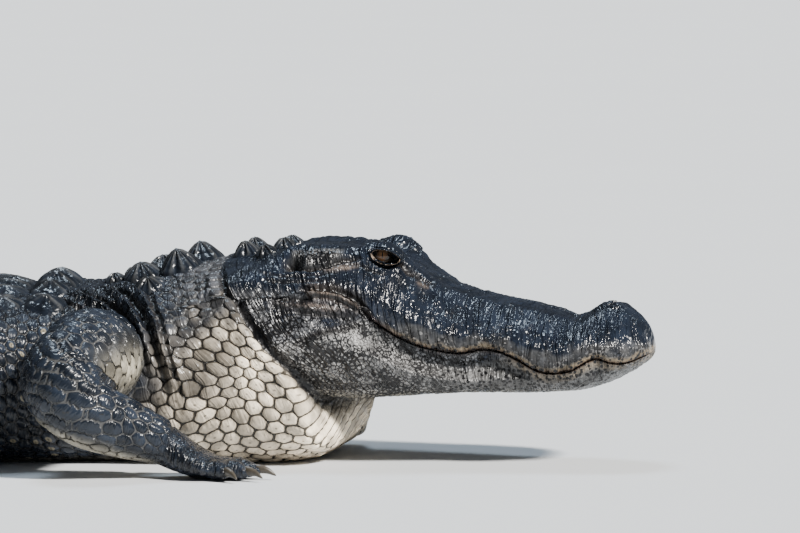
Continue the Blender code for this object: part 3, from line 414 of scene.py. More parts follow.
def add_mesh(name, points, faces, materials, normals=None, uv=None, attributes=None):
    """An object at the origin from arrays: points (n, 3), faces as a list of (m, corners) arrays of indices,
    normals for each point, a UV for each corner, and attributes by name for each point: numbers, vectors, or
    colours where the name ends so."""
    mesh = bpy.data.meshes.new(name)
    corners = np.concatenate([f.ravel() for f in faces]).astype(np.int32)
    sizes = np.concatenate([np.full(len(f), f.shape[1]) for f in faces]).astype(np.int32)
    mesh.vertices.add(len(points))
    mesh.vertices.foreach_set("co", np.asarray(points, np.float32).ravel())
    mesh.loops.add(len(corners))
    mesh.loops.foreach_set("vertex_index", corners)
    mesh.polygons.add(len(sizes))
    mesh.polygons.foreach_set("loop_start", np.concatenate([[0], np.cumsum(sizes)[:-1]]).astype(np.int32))
    mesh.polygons.foreach_set("loop_total", sizes)
    mesh.update(calc_edges=True)
    mesh.shade_smooth()
    if uv is not None:
        layer = mesh.uv_layers.new(name="OFBake")
        layer.uv.foreach_set("vector", np.asarray(uv, np.float32).ravel())
    for key, values in (attributes or {}).items():
        kind, field = ("FLOAT", "value") if values.ndim == 1 else ("FLOAT_VECTOR", "vector")
        if key.endswith("colour"):
            values = np.concatenate([values, np.ones((len(values), 1))], 1)
            kind, field = "FLOAT_COLOR", "color"
        mesh.attributes.new(key, kind, "POINT").data.foreach_set(field, values.astype(np.float32).ravel())
    if normals is not None:
        mesh.normals_split_custom_set_from_vertices(np.asarray(normals, np.float32))
    for material in materials:
        mesh.materials.append(material)
    obj = bpy.data.objects.new(name, mesh)
    bpy.context.scene.collection.objects.link(obj)
    return obj


def grid_faces(rows, columns):
    """Quads of a ring grid that face out when rows run backwards and columns down the right-hand side."""
    index = np.arange(rows * columns).reshape(rows, columns)
    after = np.roll(index, -1, 1)
    return np.stack([index[:-1], index[1:], after[1:], after[:-1]], -1).reshape(-1, 4)


def closed_faces(rows, columns):
    """Faces of a ring grid whose two end points follow its rings: quads, and a fan of triangles at each
    end."""
    ring = np.arange(columns)
    after = np.roll(ring, -1)
    last = (rows - 1) * columns
    start = np.stack([np.full(columns, rows * columns), ring, after], -1)
    end = np.stack([np.full(columns, rows * columns + 1), after + last, ring + last], -1)
    return [grid_faces(rows, columns), start, end]


def sheet_faces(rows, columns):
    """Quads of an open grid."""
    index = np.arange(rows * columns).reshape(rows, columns)
    return np.stack([index[:-1, :-1], index[1:, :-1], index[1:, 1:], index[:-1, 1:]], -1).reshape(-1, 4)


def grid_uv(rows, columns):
    """A UV for each corner of grid_faces: columns across, rows up."""
    u0 = np.broadcast_to(np.arange(columns) / columns, (rows - 1, columns))
    v0 = np.broadcast_to(np.arange(rows - 1)[:, None] / (rows - 1), u0.shape)
    u1, v1 = u0 + 1 / columns, v0 + 1 / (rows - 1)
    corners = [np.stack(pair, -1) for pair in ((u0, v0), (u0, v1), (u1, v1), (u1, v0))]
    return np.stack(corners, 2).reshape(-1, 2)


def corner_uv(places, faces):
    """A UV for each corner of the faces from one for each point."""
    return np.concatenate([places[f].reshape(-1, 2) for f in faces])


def finish_piece(obj, slot, *nodes):
    """Sets a piece on the model's one body and hides the nodes that it stands for."""
    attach(obj, "root")
    if nodes:
        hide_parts(*nodes)
    return obj


def station_list():
    """Places of the skin's rings: crowded round the tip of the snout, then at steps that grow with the
    body."""
    parts = [np.arange(TIP_START, TIP_END, TIP_STEP) ** 2 - HEAD_LENGTH]
    for end, step in RING_STEPS:
        start = parts[-1][-1]
        count = int(round((end - start) / step))
        parts.append(np.linspace(start, end, count + 1)[1:])
    return np.concatenate(parts)


def neck_shares(share):
    """For each column, the share t of body_outline: at the crease by the same angle about the head's
    middle, and evenly along the outline of the trunk."""
    fine = np.linspace(0, 1, 2001)
    trunk = body_outline(np.full(fine.shape, 0.5), fine)
    length = np.concatenate([[0], np.cumsum(np.linalg.norm(np.diff(trunk, axis=0), axis=1))])
    even = np.interp(share * length[-1], length, fine)
    s = CREASE - size_at(CREASE_LEAN, share)
    head = head_point(-s, share)[0]
    wanted = np.arctan2(head[:, 0], head[:, 1] - 0.13)
    matched = np.empty_like(share)
    for k, place in enumerate(s):
        ring = body_outline(np.full(fine.shape, place), fine)
        matched[k] = np.interp(wanted[k], np.arctan2(ring[:, 0], ring[:, 1] - 0.13), fine)
    return np.maximum.accumulate(matched), even


def head_point(x, share):
    """The outline of the head for columns at these shares, with the mouth's fold closed: (side, height),
    and how far each place is across the fold, from 0 at the upper lip to 1 at the lower."""
    lip, gum = LIP_COLUMN / HALF_COLUMNS, GUM_COLUMN / HALF_COLUMNS
    above = upper_head(x, np.clip(share / lip, 0, 1))
    below = lower_head(x, np.clip((share - gum) / (1 - gum), 0, 1))
    cross = np.clip((share - lip) / (gum - lip), 0, 1)[:, None]
    gap = head_gap(x)[:, None] * (0, 1)
    above = above + gap * np.clip(share / lip, 0, 1)[:, None] ** 12
    below = below - gap * (1 - np.clip((share - gum) / (1 - gum), 0, 1)[:, None]) ** 12
    return above * (1 - cross) + below * cross, cross[:, 0]


def head_gap(x):
    """Half the height of the mouth's opening along the head."""
    return 0.0001 + 0.0008 * window(x, MOUTH_CORNER - 0.01, MOUTH_CORNER + 0.02, 0.40, 0.4105)


def base_grid():
    """The plain skin: for each ring S and column share, s = S less the crease's lean, with the head's
    outline in front of the crease and the body's behind it, and the fold of the mouth drawn in square to
    the lip."""
    stations = station_list()
    share = np.linspace(0, 1, HALF_COLUMNS + 1)
    lean = np.where(stations < CREASE, ease(stations, -0.28, CREASE), 1 - ease(stations, CREASE, 0.35))
    s = stations[:, None] - lean[:, None] * size_at(CREASE_LEAN, share)[None]
    matched, even = neck_shares(share)
    relax = ease(stations, 0.05, 0.40)[:, None]
    t = matched[None] * (1 - relax) + even[None] * relax
    body = body_outline(s, t)
    front = stations < CREASE + 0.009
    count = front.sum()
    x = -s[:count]
    shares = np.broadcast_to(share, x.shape)
    head, cross = head_point(x.ravel(), shares.ravel())
    head, cross = head.reshape(count, -1, 2), cross.reshape(count, -1)
    blend = ease(stations[:count], CREASE - 0.006, CREASE + 0.008)[:, None, None]
    outline = body.copy()
    outline[:count] = head * (1 - blend) + body[:count] * blend
    place = np.stack([s, outline[..., 0], outline[..., 1]], -1)
    lip_x, lip_y = x[:, LIP_COLUMN], head[:, LIP_COLUMN, 0]
    along = np.stack([np.gradient(lip_x), np.gradient(lip_y)], -1)
    along /= np.linalg.norm(along, axis=1)[:, None] + 1e-9
    inward = np.stack([-along[:, 1], along[:, 0]], -1)
    inward *= np.where(inward[:, 1:] > 0, -1, 1)
    depth = MOUTH_DEPTH * window(lip_x, MOUTH_CORNER - 0.012, MOUTH_CORNER + 0.020, 0.403, 0.4108)
    fold = np.sin(math.pi * cross) ** 0.6 * (1 - blend[..., 0])
    place[:count, :, 0] -= fold * depth[:, None] * inward[:, :1]
    place[:count, :, 1] += fold * depth[:, None] * inward[:, 1:]
    return stations, share, place


def both_sides(half):
    """A whole ring of columns from the right-hand half, the midline's columns shared."""
    return np.concatenate([half, half[:, 1:-1][:, ::-1]], 1)


def bulge(place, centre, radii, power=6):
    """Pushes the places inside an ellipsoid out to its surface, along lines from its centre, with a soft
    edge."""
    away = place - np.array(centre)
    r = np.linalg.norm(away / np.array(radii), axis=-1, keepdims=True)
    grown = (r**power + 1) ** (1 / power)
    return np.where(r < 2.2, np.array(centre) + away * (grown / np.maximum(r, 1e-6)), place)


class Skin:
    """The skin's arrays, kept between the operators: rings, shares, places, arc lengths and points, and how
    free each place is to rise, which is not at all at the snout's tip and along the seam behind it."""

    made = None

    def __init__(self):
        self.stations, share, place = base_grid()
        self.share = np.concatenate([share, share[1:-1][::-1]])
        sign = np.where(np.arange(2 * HALF_COLUMNS) <= HALF_COLUMNS, -1.0, 1.0)
        place = both_sides(place)
        head = self.stations < 0.1
        for centre, sizes in (((-EYE_X, BROW_Y, BROW_Z), BROW), (NOSTRIL_RIM, NOSTRIL_RIM_SIZES)):
            place[head] = bulge(place[head], centre, sizes)
        self.s, self.z = place[..., 0] + TIP_SET_BACK * ease(-place[..., 0], 0.37, 0.405), place[..., 2]
        self.side = place[..., 1] * sign
        self.sign = sign
        flat = to_world(self.s, self.side, self.z)
        step = np.linalg.norm(np.diff(flat[:, : HALF_COLUMNS + 1], axis=1), axis=2)
        arc = np.concatenate([np.zeros((len(flat), 1)), np.cumsum(step, 1)], 1)
        self.girth = arc[:, -1:]
        self.arc = both_sides(arc) * sign
        self.ring = np.broadcast_to(self.stations[:, None], self.s.shape)
        self.column = np.broadcast_to(self.share[None], self.s.shape)
        self.points = flat
        seam = window(self.column, 0.545, 0.560, 0.600, 0.615) * ease(-self.s, 0.370, 0.395)
        self.free = (1 - seam) * (1 - ease(-self.s, 0.396, 0.406))


def skin():
    """The skin's arrays, worked out once."""
    if Skin.made is None:
        Skin.made = Skin()
    return Skin.made


# Strokes of the head in (x, height), seen from the side: points, half width and depth, all in metres
# Each groove is also darkened in colour as painted shade
HEAD_GROOVES = [
    ([(-0.006, 0.2345), (0.008, 0.2285), (0.022, 0.2262), (0.043, 0.229), (0.059, 0.2343), (0.083, 0.2381)],
      0.0021, 0.005),
    ([(0.122, 0.235), (0.1265, 0.2309), (0.135, 0.2217), (0.1435, 0.2163), (0.154, 0.2095), (0.165, 0.204)],
      0.0024, 0.0034),
    ([(0.016, 0.204), (0.0303, 0.2046), (0.0543, 0.2032), (0.0735, 0.1975), (0.084, 0.191),
      (0.0946, 0.1785), (0.1, 0.17)], 0.003, 0.0068),
    ([(0.02, 0.1935), (0.0376, 0.196), (0.06, 0.1935), (0.0809, 0.1825), (0.093, 0.173)], 0.0022, 0.0038),
    ([(-0.0144, 0.195), (0.0, 0.1925), (0.0159, 0.1916), (0.033, 0.195)], 0.0024, 0.0032),
    ([(0.012, 0.179), (0.04, 0.176), (0.0661, 0.1731), (0.085, 0.1705)], 0.0026, 0.003),
    ([(0.01, 0.14), (0.022, 0.147), (0.045, 0.156), (0.07, 0.161), (0.0937, 0.1665)], 0.0032, 0.0042),
    ([(-0.03, 0.214), (-0.01, 0.211), (0.015, 0.212), (0.04, 0.214)], 0.002, 0.0016),
    ([(-0.04, 0.223), (-0.02, 0.219), (0.0, 0.217), (0.03, 0.219), (0.06, 0.223)], 0.0018, 0.0014),
    ([(0.06, 0.229), (0.075, 0.231), (0.085, 0.229), (0.1, 0.222), (0.115, 0.22)], 0.0018, 0.0018),
    ([(0.02, 0.095), (0.06, 0.09), (0.1, 0.092), (0.14, 0.096)], 0.0024, 0.0026),
]
# Ridges in the same way, with their height
HEAD_RIDGES = [
    ([(0.012, 0.2385), (0.03, 0.24), (0.05, 0.2405), (0.068, 0.241)], 0.0075, 0.004),
    ([(0.024, 0.2), (0.04, 0.2003), (0.058, 0.1983), (0.077, 0.1895), (0.089, 0.1795)], 0.005, 0.0056),
    ([(0.13, 0.236), (0.15, 0.222), (0.176, 0.206), (0.21, 0.194)], 0.006, 0.0026),
    ([(-0.012, 0.187), (0.02, 0.186), (0.05, 0.183), (0.075, 0.177)], 0.005, 0.0022),
    ([(0.03, 0.144), (0.05, 0.15), (0.072, 0.153), (0.093, 0.156)], 0.008, 0.003),
]
# Pale strokes, with their strength
HEAD_PALE = [
    ([(0.024, 0.2), (0.04, 0.2), (0.058, 0.1975), (0.077, 0.189), (0.089, 0.179)], 0.007, 1.0),
    ([(0.04, 0.2262), (0.055, 0.2272), (0.07, 0.2285), (0.082, 0.23)], 0.0026, 0.55),
    ([(0.145, 0.2115), (0.152, 0.206), (0.158, 0.2035)], 0.0022, 0.55),
    ([(-0.02, 0.187), (0.02, 0.186), (0.05, 0.183), (0.078, 0.177)], 0.005, 0.45),
]
# The upper edge of the pale jowl, as (x, height); the dark band above it on the lower jaw is painted shade
JOWL_EDGE = [(-0.1, 0.1), (-0.06, 0.118), (-0.02, 0.132), (0.022, 0.146), (0.045, 0.1554), (0.07, 0.16),
             (0.096, 0.166), (0.121, 0.15), (0.15, 0.128), (0.177, 0.117), (0.21, 0.112), (0.24, 0.125),
             (0.28, 0.125), (0.42, 0.14)]


def head_relief(k):
    """Height over the head's plain outline: strokes for the ear's slit and flap, the folds behind the mouth
    and the ridges of the snout, two rolls along the lips, an almond sunk for the eye, a rounded pit for the
    ear and a crescent for the nostril. Also the painted shade that darkens the grooves, the ear's pit and
    the nostril, and how pale the pale strokes leave each place."""
    x, z, y = -k.s, k.z, np.abs(k.side)
    flank = ease(y, 0.040, 0.060) * (1 - ease(k.ring, CREASE - 0.004, CREASE + 0.004))
    rise, dark, pale = np.zeros(x.shape), np.zeros(x.shape), np.zeros(x.shape)
    for points, width, depth in HEAD_GROOVES:
        line = flank * stroke(x, z, points, width)
        rise -= depth * line
        # Painted shade: each groove's colour is darkened in step with its depth
        dark = np.maximum(dark, line * min(1, depth / 0.0035))
    for points, width, height in HEAD_RIDGES:
        rise += height * flank * stroke(x, z, points, width)
    ragged = 0.35 + 1.1 * clouds(x / 0.007, z / 0.004, 73, 2)
    for points, width, strength in HEAD_PALE:
        pale = np.maximum(pale, strength * ragged * flank * stroke(x, z, points, width, 0.3))
    ear = np.exp(-(((x - EAR_X) / EAR_LONG) ** 2 + ((z - EAR_Z) / EAR_TALL) ** 2) ** 1.5)
    rise -= EAR_DEPTH * flank * ear
    level = z - EYE_Z + EYE_SLANT * (x - LID_X)
    almond = ((x - LID_X) / SOCKET_LONG) ** 2 + (level / SOCKET_TALL) ** 2
    rise -= SOCKET_DEPTH * flank * (1 - ease(almond, 0.7, 1.15))
    crescent = np.hypot((x - NOSTRIL_X) / NOSTRIL_LONG, (y - NOSTRIL_Y) / NOSTRIL_WIDE)
    open_ahead = ease(x, NOSTRIL_X - 0.006, NOSTRIL_X + 0.006)
    nostril = ease(z, 0.165, 0.176) * bell(crescent, 1.0, 0.32) * open_ahead
    rise -= NOSTRIL_DEPTH * nostril
    over = z - head_size(LIP_Z, x)
    mouth = window(x, MOUTH_CORNER, MOUTH_CORNER + 0.03, 0.380, 0.400) * flank
    rise += 0.0022 * mouth * (bell(over, 0.0080, 0.0060) + 0.8 * bell(over, -0.0085, 0.0055))
    # Painted shade in the ear's pit and the nostril
    dark = np.maximum(dark, np.maximum(0.95 * flank * ear, 0.95 * nostril))
    return rise, dark, pale


def skin_regions(k):
    """Shares of each kind of skin at each place: snout, cheek, jowl, neck, back, flank, belly and tail,
    adding to 1; and how far round the body the place is."""
    s, share = k.s, np.abs(k.arc) / k.girth
    x, z = -s, k.z
    head = 1 - ease(k.ring, CREASE - 0.005, CREASE + 0.003)
    under = ease(k.column, 0.575, 0.590) * ease(x, MOUTH_CORNER - 0.004, MOUTH_CORNER + 0.008)
    behind = (1 - ease(x, MOUTH_CORNER - 0.004, MOUTH_CORNER + 0.008)) * (1 - ease(z, 0.190, 0.206))
    jaw = head * np.clip(under + behind, 0, 1)
    ragged = 0.010 * (clouds(x / 0.02, z / 0.02, 71, 2) - 0.5)
    pale = 1 - ease(z - size_at(JOWL_EDGE, x) + ragged, -0.005, 0.006)
    jowl = jaw * pale
    cheek = jaw - jowl
    snout = head - jaw
    rest = 1 - head
    tail = rest * ease(s, 1.20, 1.30)
    rest = rest - tail
    belly = rest * ease(share, 0.72, 0.82) * ease(s, 0.02, 0.10)
    back = rest * (1 - ease(share, 0.26, 0.36)) * ease(s, 0.10, 0.22)
    side = rest - belly - back
    neck = side * (1 - ease(s, 0.18, 0.32))
    return {"snout": snout, "cheek": cheek, "jowl": jowl, "neck": neck, "back": back, "flank": side - neck,
            "belly": belly, "tail": tail, "share": share}


def where_shown(weight, pattern, values):
    """The pattern worked out on the places where the weight shows, and 0 elsewhere."""
    shown = weight > 0.01
    full = np.zeros(weight.shape)
    full[shown] = pattern(shown, *values)
    return full


def plate_rows(k, region):
    """Where each place lies in the rows of six-sided plates, (p, q, weight): p counts plates round the body
    and q counts rows, which run beside the crease, both with a waver that makes every plate a little
    different and fades out under the belly."""
    steady = 1 - ease(region["share"], 0.85, 0.98)
    waver = [steady * sum(share * (clouds(k.s / size, k.arc / size, seed + 2 * i, 1) - 0.5)
                          for i, (share, size) in enumerate(PLATE_WAVERS)) for seed in (5, 6)]
    weight = region["neck"] + region["flank"] + 0.5 * region["back"]
    return np.stack([k.arc / PLATE_ROUND + waver[0], k.ring / PLATE_ALONG + waver[1], weight], -1)


def skin_scales(k, region, tile):
    """Height of the scales of every kind and how deep in a groove each place is, mixed by the regions:
    wrinkles over pebbles on the head, rows of six-sided plates on the neck and flank, tiles on the belly,
    and whorls of tiles on the tail."""
    s, arc, side = k.s, np.abs(k.arc), np.where(k.arc < 0, 0.0, 40.0)
    under = (k.girth - arc) * np.sign(k.sign)[None]
    warp = 0.004 * (clouds(s / 0.05, arc / 0.05 + side, 5, 2) - 0.5)

    def pebbles(m, scale, jitter, seed):
        return scales(s[m] / scale, (arc[m] + warp[m]) / scale + side[m], jitter, seed, 0.3, 0.6)

    def folds(m, along, across, seed):
        return wrinkles(s[m] / along, arc[m] / across + side[m], seed)

    def rows(m):
        inner = hexes(tile[m][:, 0], tile[m][:, 1])
        return ease(inner, 0.0, 0.13) * (0.66 + 0.34 * ease(inner, 0.05, 0.5))

    def tiles(m, wide, long):
        return scales(under[m] / wide, s[m] / long, 0.18, 16, 0.10, 0.15)

    def whorls(m, wide):
        return scales(under[m] / wide, (s[m] - WHORL_START) / WHORL_STEP + 0.5, 0.16, 17, 0.10, 0.25)

    smooth_nose = 1 - 0.7 * ease(-s, 0.345, 0.370)
    # Where each kind lies, its pattern with the pattern's values, its height, and how dark its grooves are
    kinds = [
        (region["snout"], pebbles, (0.0068, 0.8, 11), 0.0003, 0.15),
        (region["snout"] * smooth_nose, folds, (0.0075, 0.030, 81), 0.0030, 0.25),
        (region["cheek"], pebbles, (0.0064, 0.8, 18), 0.0010, 0.35),
        (region["cheek"], folds, (0.0140, 0.010, 84), 0.0024, 0.25),
        (region["jowl"], pebbles, (0.0078, 0.7, 12), 0.0008, 0.25),
        (region["jowl"], folds, (0.0180, 0.013, 87), 0.0016, 0.10),
        (region["neck"], rows, (), 0.0028, 0.3),
        (region["neck"], folds, (0.0090, 0.020, 90), 0.0005, 0.0),
        (region["back"], pebbles, (0.0110, 0.6, 14), 0.0018, 0.5),
        (region["back"], folds, (0.0090, 0.020, 93), 0.0026, 0.4),
        (region["flank"], rows, (), 0.0034, 0.3),
        (region["flank"], folds, (0.0100, 0.024, 96), 0.0022, 0.2),
        (region["belly"], tiles, (0.027, 0.0290), 0.0016, 1.0),
        (region["tail"], whorls, (0.021,), 0.0022, 1.0),
    ]
    height, edge = np.zeros(s.shape), np.zeros(s.shape)
    for weight, pattern, values, amount, groove_dark in kinds:
        rise = where_shown(weight, pattern, values)
        height += weight * amount * (rise - 1)
        edge += weight * groove_dark * (1 - rise)
    return height, edge


# Rope-like folds between the neck and the shoulder, in (s, arc from the midline): points, half width and
# height; then the grooves beside them, with their depth
NECK_ROPES = [
    ([(0.285, 0.06), (0.25, 0.095), (0.21, 0.135), (0.185, 0.17), (0.168, 0.205)], 0.006, 0.0085),
    ([(0.245, 0.045), (0.21, 0.095), (0.183, 0.138), (0.164, 0.178), (0.15, 0.22)], 0.0055, 0.008),
    ([(0.215, 0.04), (0.186, 0.09), (0.164, 0.133), (0.148, 0.173), (0.136, 0.205), (0.124, 0.24)], 0.0052,
      0.007),
    ([(0.18, 0.08), (0.154, 0.133), (0.134, 0.188), (0.118, 0.24), (0.106, 0.28)], 0.006, 0.004),
]
NECK_GROOVES = [
    ([(0.268, 0.05), (0.23, 0.095), (0.197, 0.135), (0.176, 0.172), (0.16, 0.212)], 0.0032, 0.0075),
    ([(0.232, 0.04), (0.199, 0.092), (0.174, 0.135), (0.157, 0.175), (0.144, 0.212), (0.132, 0.25)], 0.003,
      0.0075),
    ([(0.199, 0.045), (0.175, 0.09), (0.157, 0.135), (0.141, 0.18), (0.127, 0.22), (0.114, 0.26)], 0.0028,
      0.0055),
    ([(0.3, 0.075), (0.262, 0.108), (0.226, 0.148), (0.198, 0.188), (0.18, 0.222)], 0.0036, 0.007),
    ([(0.072, 0.062), (0.06, 0.095), (0.0545, 0.128), (0.0506, 0.146), (0.042, 0.17)], 0.0026, 0.005),
    ([(0.12, 0.06), (0.105, 0.085), (0.098, 0.115), (0.1, 0.15)], 0.0022, 0.0026),
    ([(0.15, 0.055), (0.138, 0.085), (0.128, 0.12), (0.126, 0.155)], 0.0022, 0.0026),
]


def crease_relief(k):
    """The roll of skin behind the head and the groove in front of it, which follow the ring of the crease,
    and the ropes and grooves of the neck as strokes; also the painted shade that darkens the groove and
    the neck's grooves."""
    strength = window(k.column, 0.28, 0.46, 0.90, 1.0)
    line = strength * bell(k.ring, CREASE - 0.0035, 0.0032)
    rise = 0.0048 * strength * bell(k.ring, CREASE + 0.012, 0.009) - 0.0080 * line
    # Painted shade in the groove in front of the roll
    dark = 0.9 * line
    arc = np.abs(k.arc)
    behind = ease(k.ring, CREASE - 0.002, CREASE + 0.006)
    for points, width, height in NECK_ROPES:
        rise = rise + height * behind * stroke(k.s, arc, points, width, 0.3)
    for points, width, depth in NECK_GROOVES:
        line = behind * stroke(k.s, arc, points, width, 0.3)
        rise = rise - depth * line
        # Painted shade in the neck's grooves
        dark = np.maximum(dark, 0.9 * min(1, depth / 0.0060) * line)
    return rise, dark


def skin_colours(k, region, edge, dark, pale):
    """The colour of the skin, its marks (dots, network, paleness of the lines between plates), its gloss
    and its share of pale plates: near black above, tan along the lips, speckled grey on the jowl, cream
    plates on the neck. Painted shade darkens the head's grooves, pits and crease, the band under the
    upper lip and the front of the lower jaw; the grooves between scales are darkened too."""
    colours = bpy.context.scene.alligator_colours
    names = ("dark", "snout", "tan", "grey", "cream", "groove", "fold", "rust", "belly")
    hue = {name: np.array(getattr(colours, name)[:]) for name in names}
    x, z, ring, share = -k.s, k.z, k.ring, region["share"]
    vary = clouds(k.s / 0.03, k.arc / 0.03, 21)[..., None]
    blots = clouds(k.s / 0.018, k.arc / 0.018, 22, 3)
    forward = ease(x, 0.14, 0.24)

    def spread(low, high, by):
        return low + (high - low) * np.clip(by, 0, 1)[..., None]

    # The lips, the band of grey over the upper one, the inside of the mouth's fold, and the patch below
    # the ear
    over = z - head_size(LIP_Z, x)
    waver = 0.007 * (clouds(x / 0.012, z / 0.012, 72, 2) - 0.5)
    on_jaw = ease(x, MOUTH_CORNER + 0.01, 0.15)
    lip = (1 - ease(over + waver, 0.004, 0.011)) * on_jaw
    band = (1 - ease(over + 3 * waver, 0.008, 0.026)) * on_jaw
    low_lip = (1 - ease(waver - over, 0.004, 0.014)) * ease(x, 0.21, 0.26)
    in_mouth = window(k.column, 0.540, 0.560, 0.600, 0.620) * (1 - ease(ring, CREASE - 0.1, CREASE))
    in_mouth = in_mouth * ease(x, MOUTH_CORNER - 0.005, MOUTH_CORNER + 0.02)
    temple = region["snout"] * ease(np.abs(k.side), 0.045, 0.060)
    temple = temple * window(x, -0.004, 0.010, 0.048, 0.064) * window(z, 0.2265, 0.2300, 0.2430, 0.2470)

    # Cream plates: low on the neck close to the crease, and underneath further back
    near = 1 - ease(ring + 0.03 * (blots - 0.5), 0.040, 0.115)
    low = ease(share + 0.15 * (blots - 0.5), 0.30, 0.52)
    deep = ease(share, 0.50, 0.62) * (1 - ease(k.s, 0.13, 0.24))
    further = 0.30 * low * (1 - ease(ring, 0.12, 0.17)) + 0.42 * deep
    cream = np.clip(near * (0.04 + 0.96 * low) + (1 - near) * further, 0, 1) * (0.75 + 0.5 * blots)

    snout = spread(hue["snout"] * (0.6 + 0.8 * vary), 0.62 * hue["grey"], band * ease(blots, 0.25, 0.55))
    # Painted shade: the lower jaw's grey is darkened towards its front
    jowl = hue["grey"] * (0.55 + 0.7 * vary) * (1 - 0.55 * forward)[..., None]
    jowl = spread(jowl, hue["tan"], 0.6 * low_lip)
    tint = {
        "snout": spread(snout, hue["tan"], lip),
        "jowl": spread(jowl, hue["belly"], 0.4 * (1 - ease(z, 0.076, 0.090))),
        # Cheek: own dark colour behind the mouth's corner, painted shade on the lower jaw under the upper lip
        "cheek": 1.4 * hue["snout"] + 0.60 * hue["grey"] * ease(blots, 0.30, 0.65)[..., None],
        "neck": spread(hue["dark"] * (1.0 + 1.2 * vary), hue["cream"], cream),
        "back": hue["dark"] * (0.6 + 0.8 * vary),
        "flank": hue["dark"] * (0.8 + 1.0 * vary),
        "belly": hue["belly"] * (0.75 + 0.4 * vary),
        "tail": spread(hue["dark"] * (0.9 + 0.5 * vary), hue["belly"], 0.8 * ease(share, 0.62, 0.85)),
    }
    colour = sum(region[name][..., None] * tint[name] for name in tint)
    colour = spread(colour, 0.8 * hue["grey"], temple * ease(blots, 0.30, 0.60))
    colour = spread(colour, hue["fold"], pale)
    colour = spread(colour, hue["rust"], 0.85 * in_mouth)
    # Painted shade: the head's grooves, pits and crease take the groove colour, as do the scales' grooves
    colour = spread(colour, hue["groove"], 0.9 * np.clip(dark + 0.7 * edge, 0, 1))

    dots = region["snout"] * np.maximum(0.8 * lip, band) + region["jowl"] * (0.4 + 0.6 * ease(x, 0.10, 0.20))
    network = (region["jowl"] * (1 - 0.8 * forward) + region["cheek"] * (1 - 0.7 * pale)
               + region["snout"] * np.maximum(band * (1 - lip), 0.4 * pale) + temple)
    line = 0.6 * region["neck"] * (1 - ease(cream, 0.04, 0.10)) + 0.30 * region["flank"]
    shine = {"snout": 1 - 0.5 * lip, "cheek": 0.7, "jowl": 0.5, "neck": 0.8 - 0.5 * cream, "back": 0.8,
             "flank": 0.8, "tail": 0.5}
    gloss = sum(region[name] * shine[name] for name in shine)
    spot = region["flank"] * (0.10 + 0.25 * ease(share, 0.35, 0.6))
    return colour, np.stack([dots, network, line], -1), gloss * (1 - 0.6 * dark), spot


# The hide's finish: its roughness when dry, what the damp takes off that, its specular level, and the
# depth of its relief in metres
HIDE_ROUGHNESS, DAMP, HIDE_SPECULAR, HIDE_DEPTH = 0.42, 0.22, 0.36, 0.0032
# Shares of that depth: wrinkles round the body, fine creases, pebbles, and the grooves between plates
WRINKLES, CREASES, PEBBLES, GROOVES = 2.6, 0.35, 0.16, 1.2
# Wrinkles in each row of plates, and how often in a metre they change across; the other patterns' sizes, as
# repeats in a metre; how far the network is bent, in metres, and half the softness of its lines
ROW_WRINKLES, WRINKLE_SPREAD = 3.0, 24.0
SPECKLE_SCALE, NETWORK_SCALE, PEBBLE_SCALE, CREASE_SCALE = 195, 215, 210, 95
NETWORK_BEND, NETWORK_SOFT = 0.0055, 0.03
# Distances in from a plate's edge: where its groove ends and is full, where a pale spot fades, and where
# a pore does
GROOVE_EDGE, SPOT_EDGE, PORE_EDGE = (0.070, 0.022), (0.26, 0.34), (0.40, 0.46)


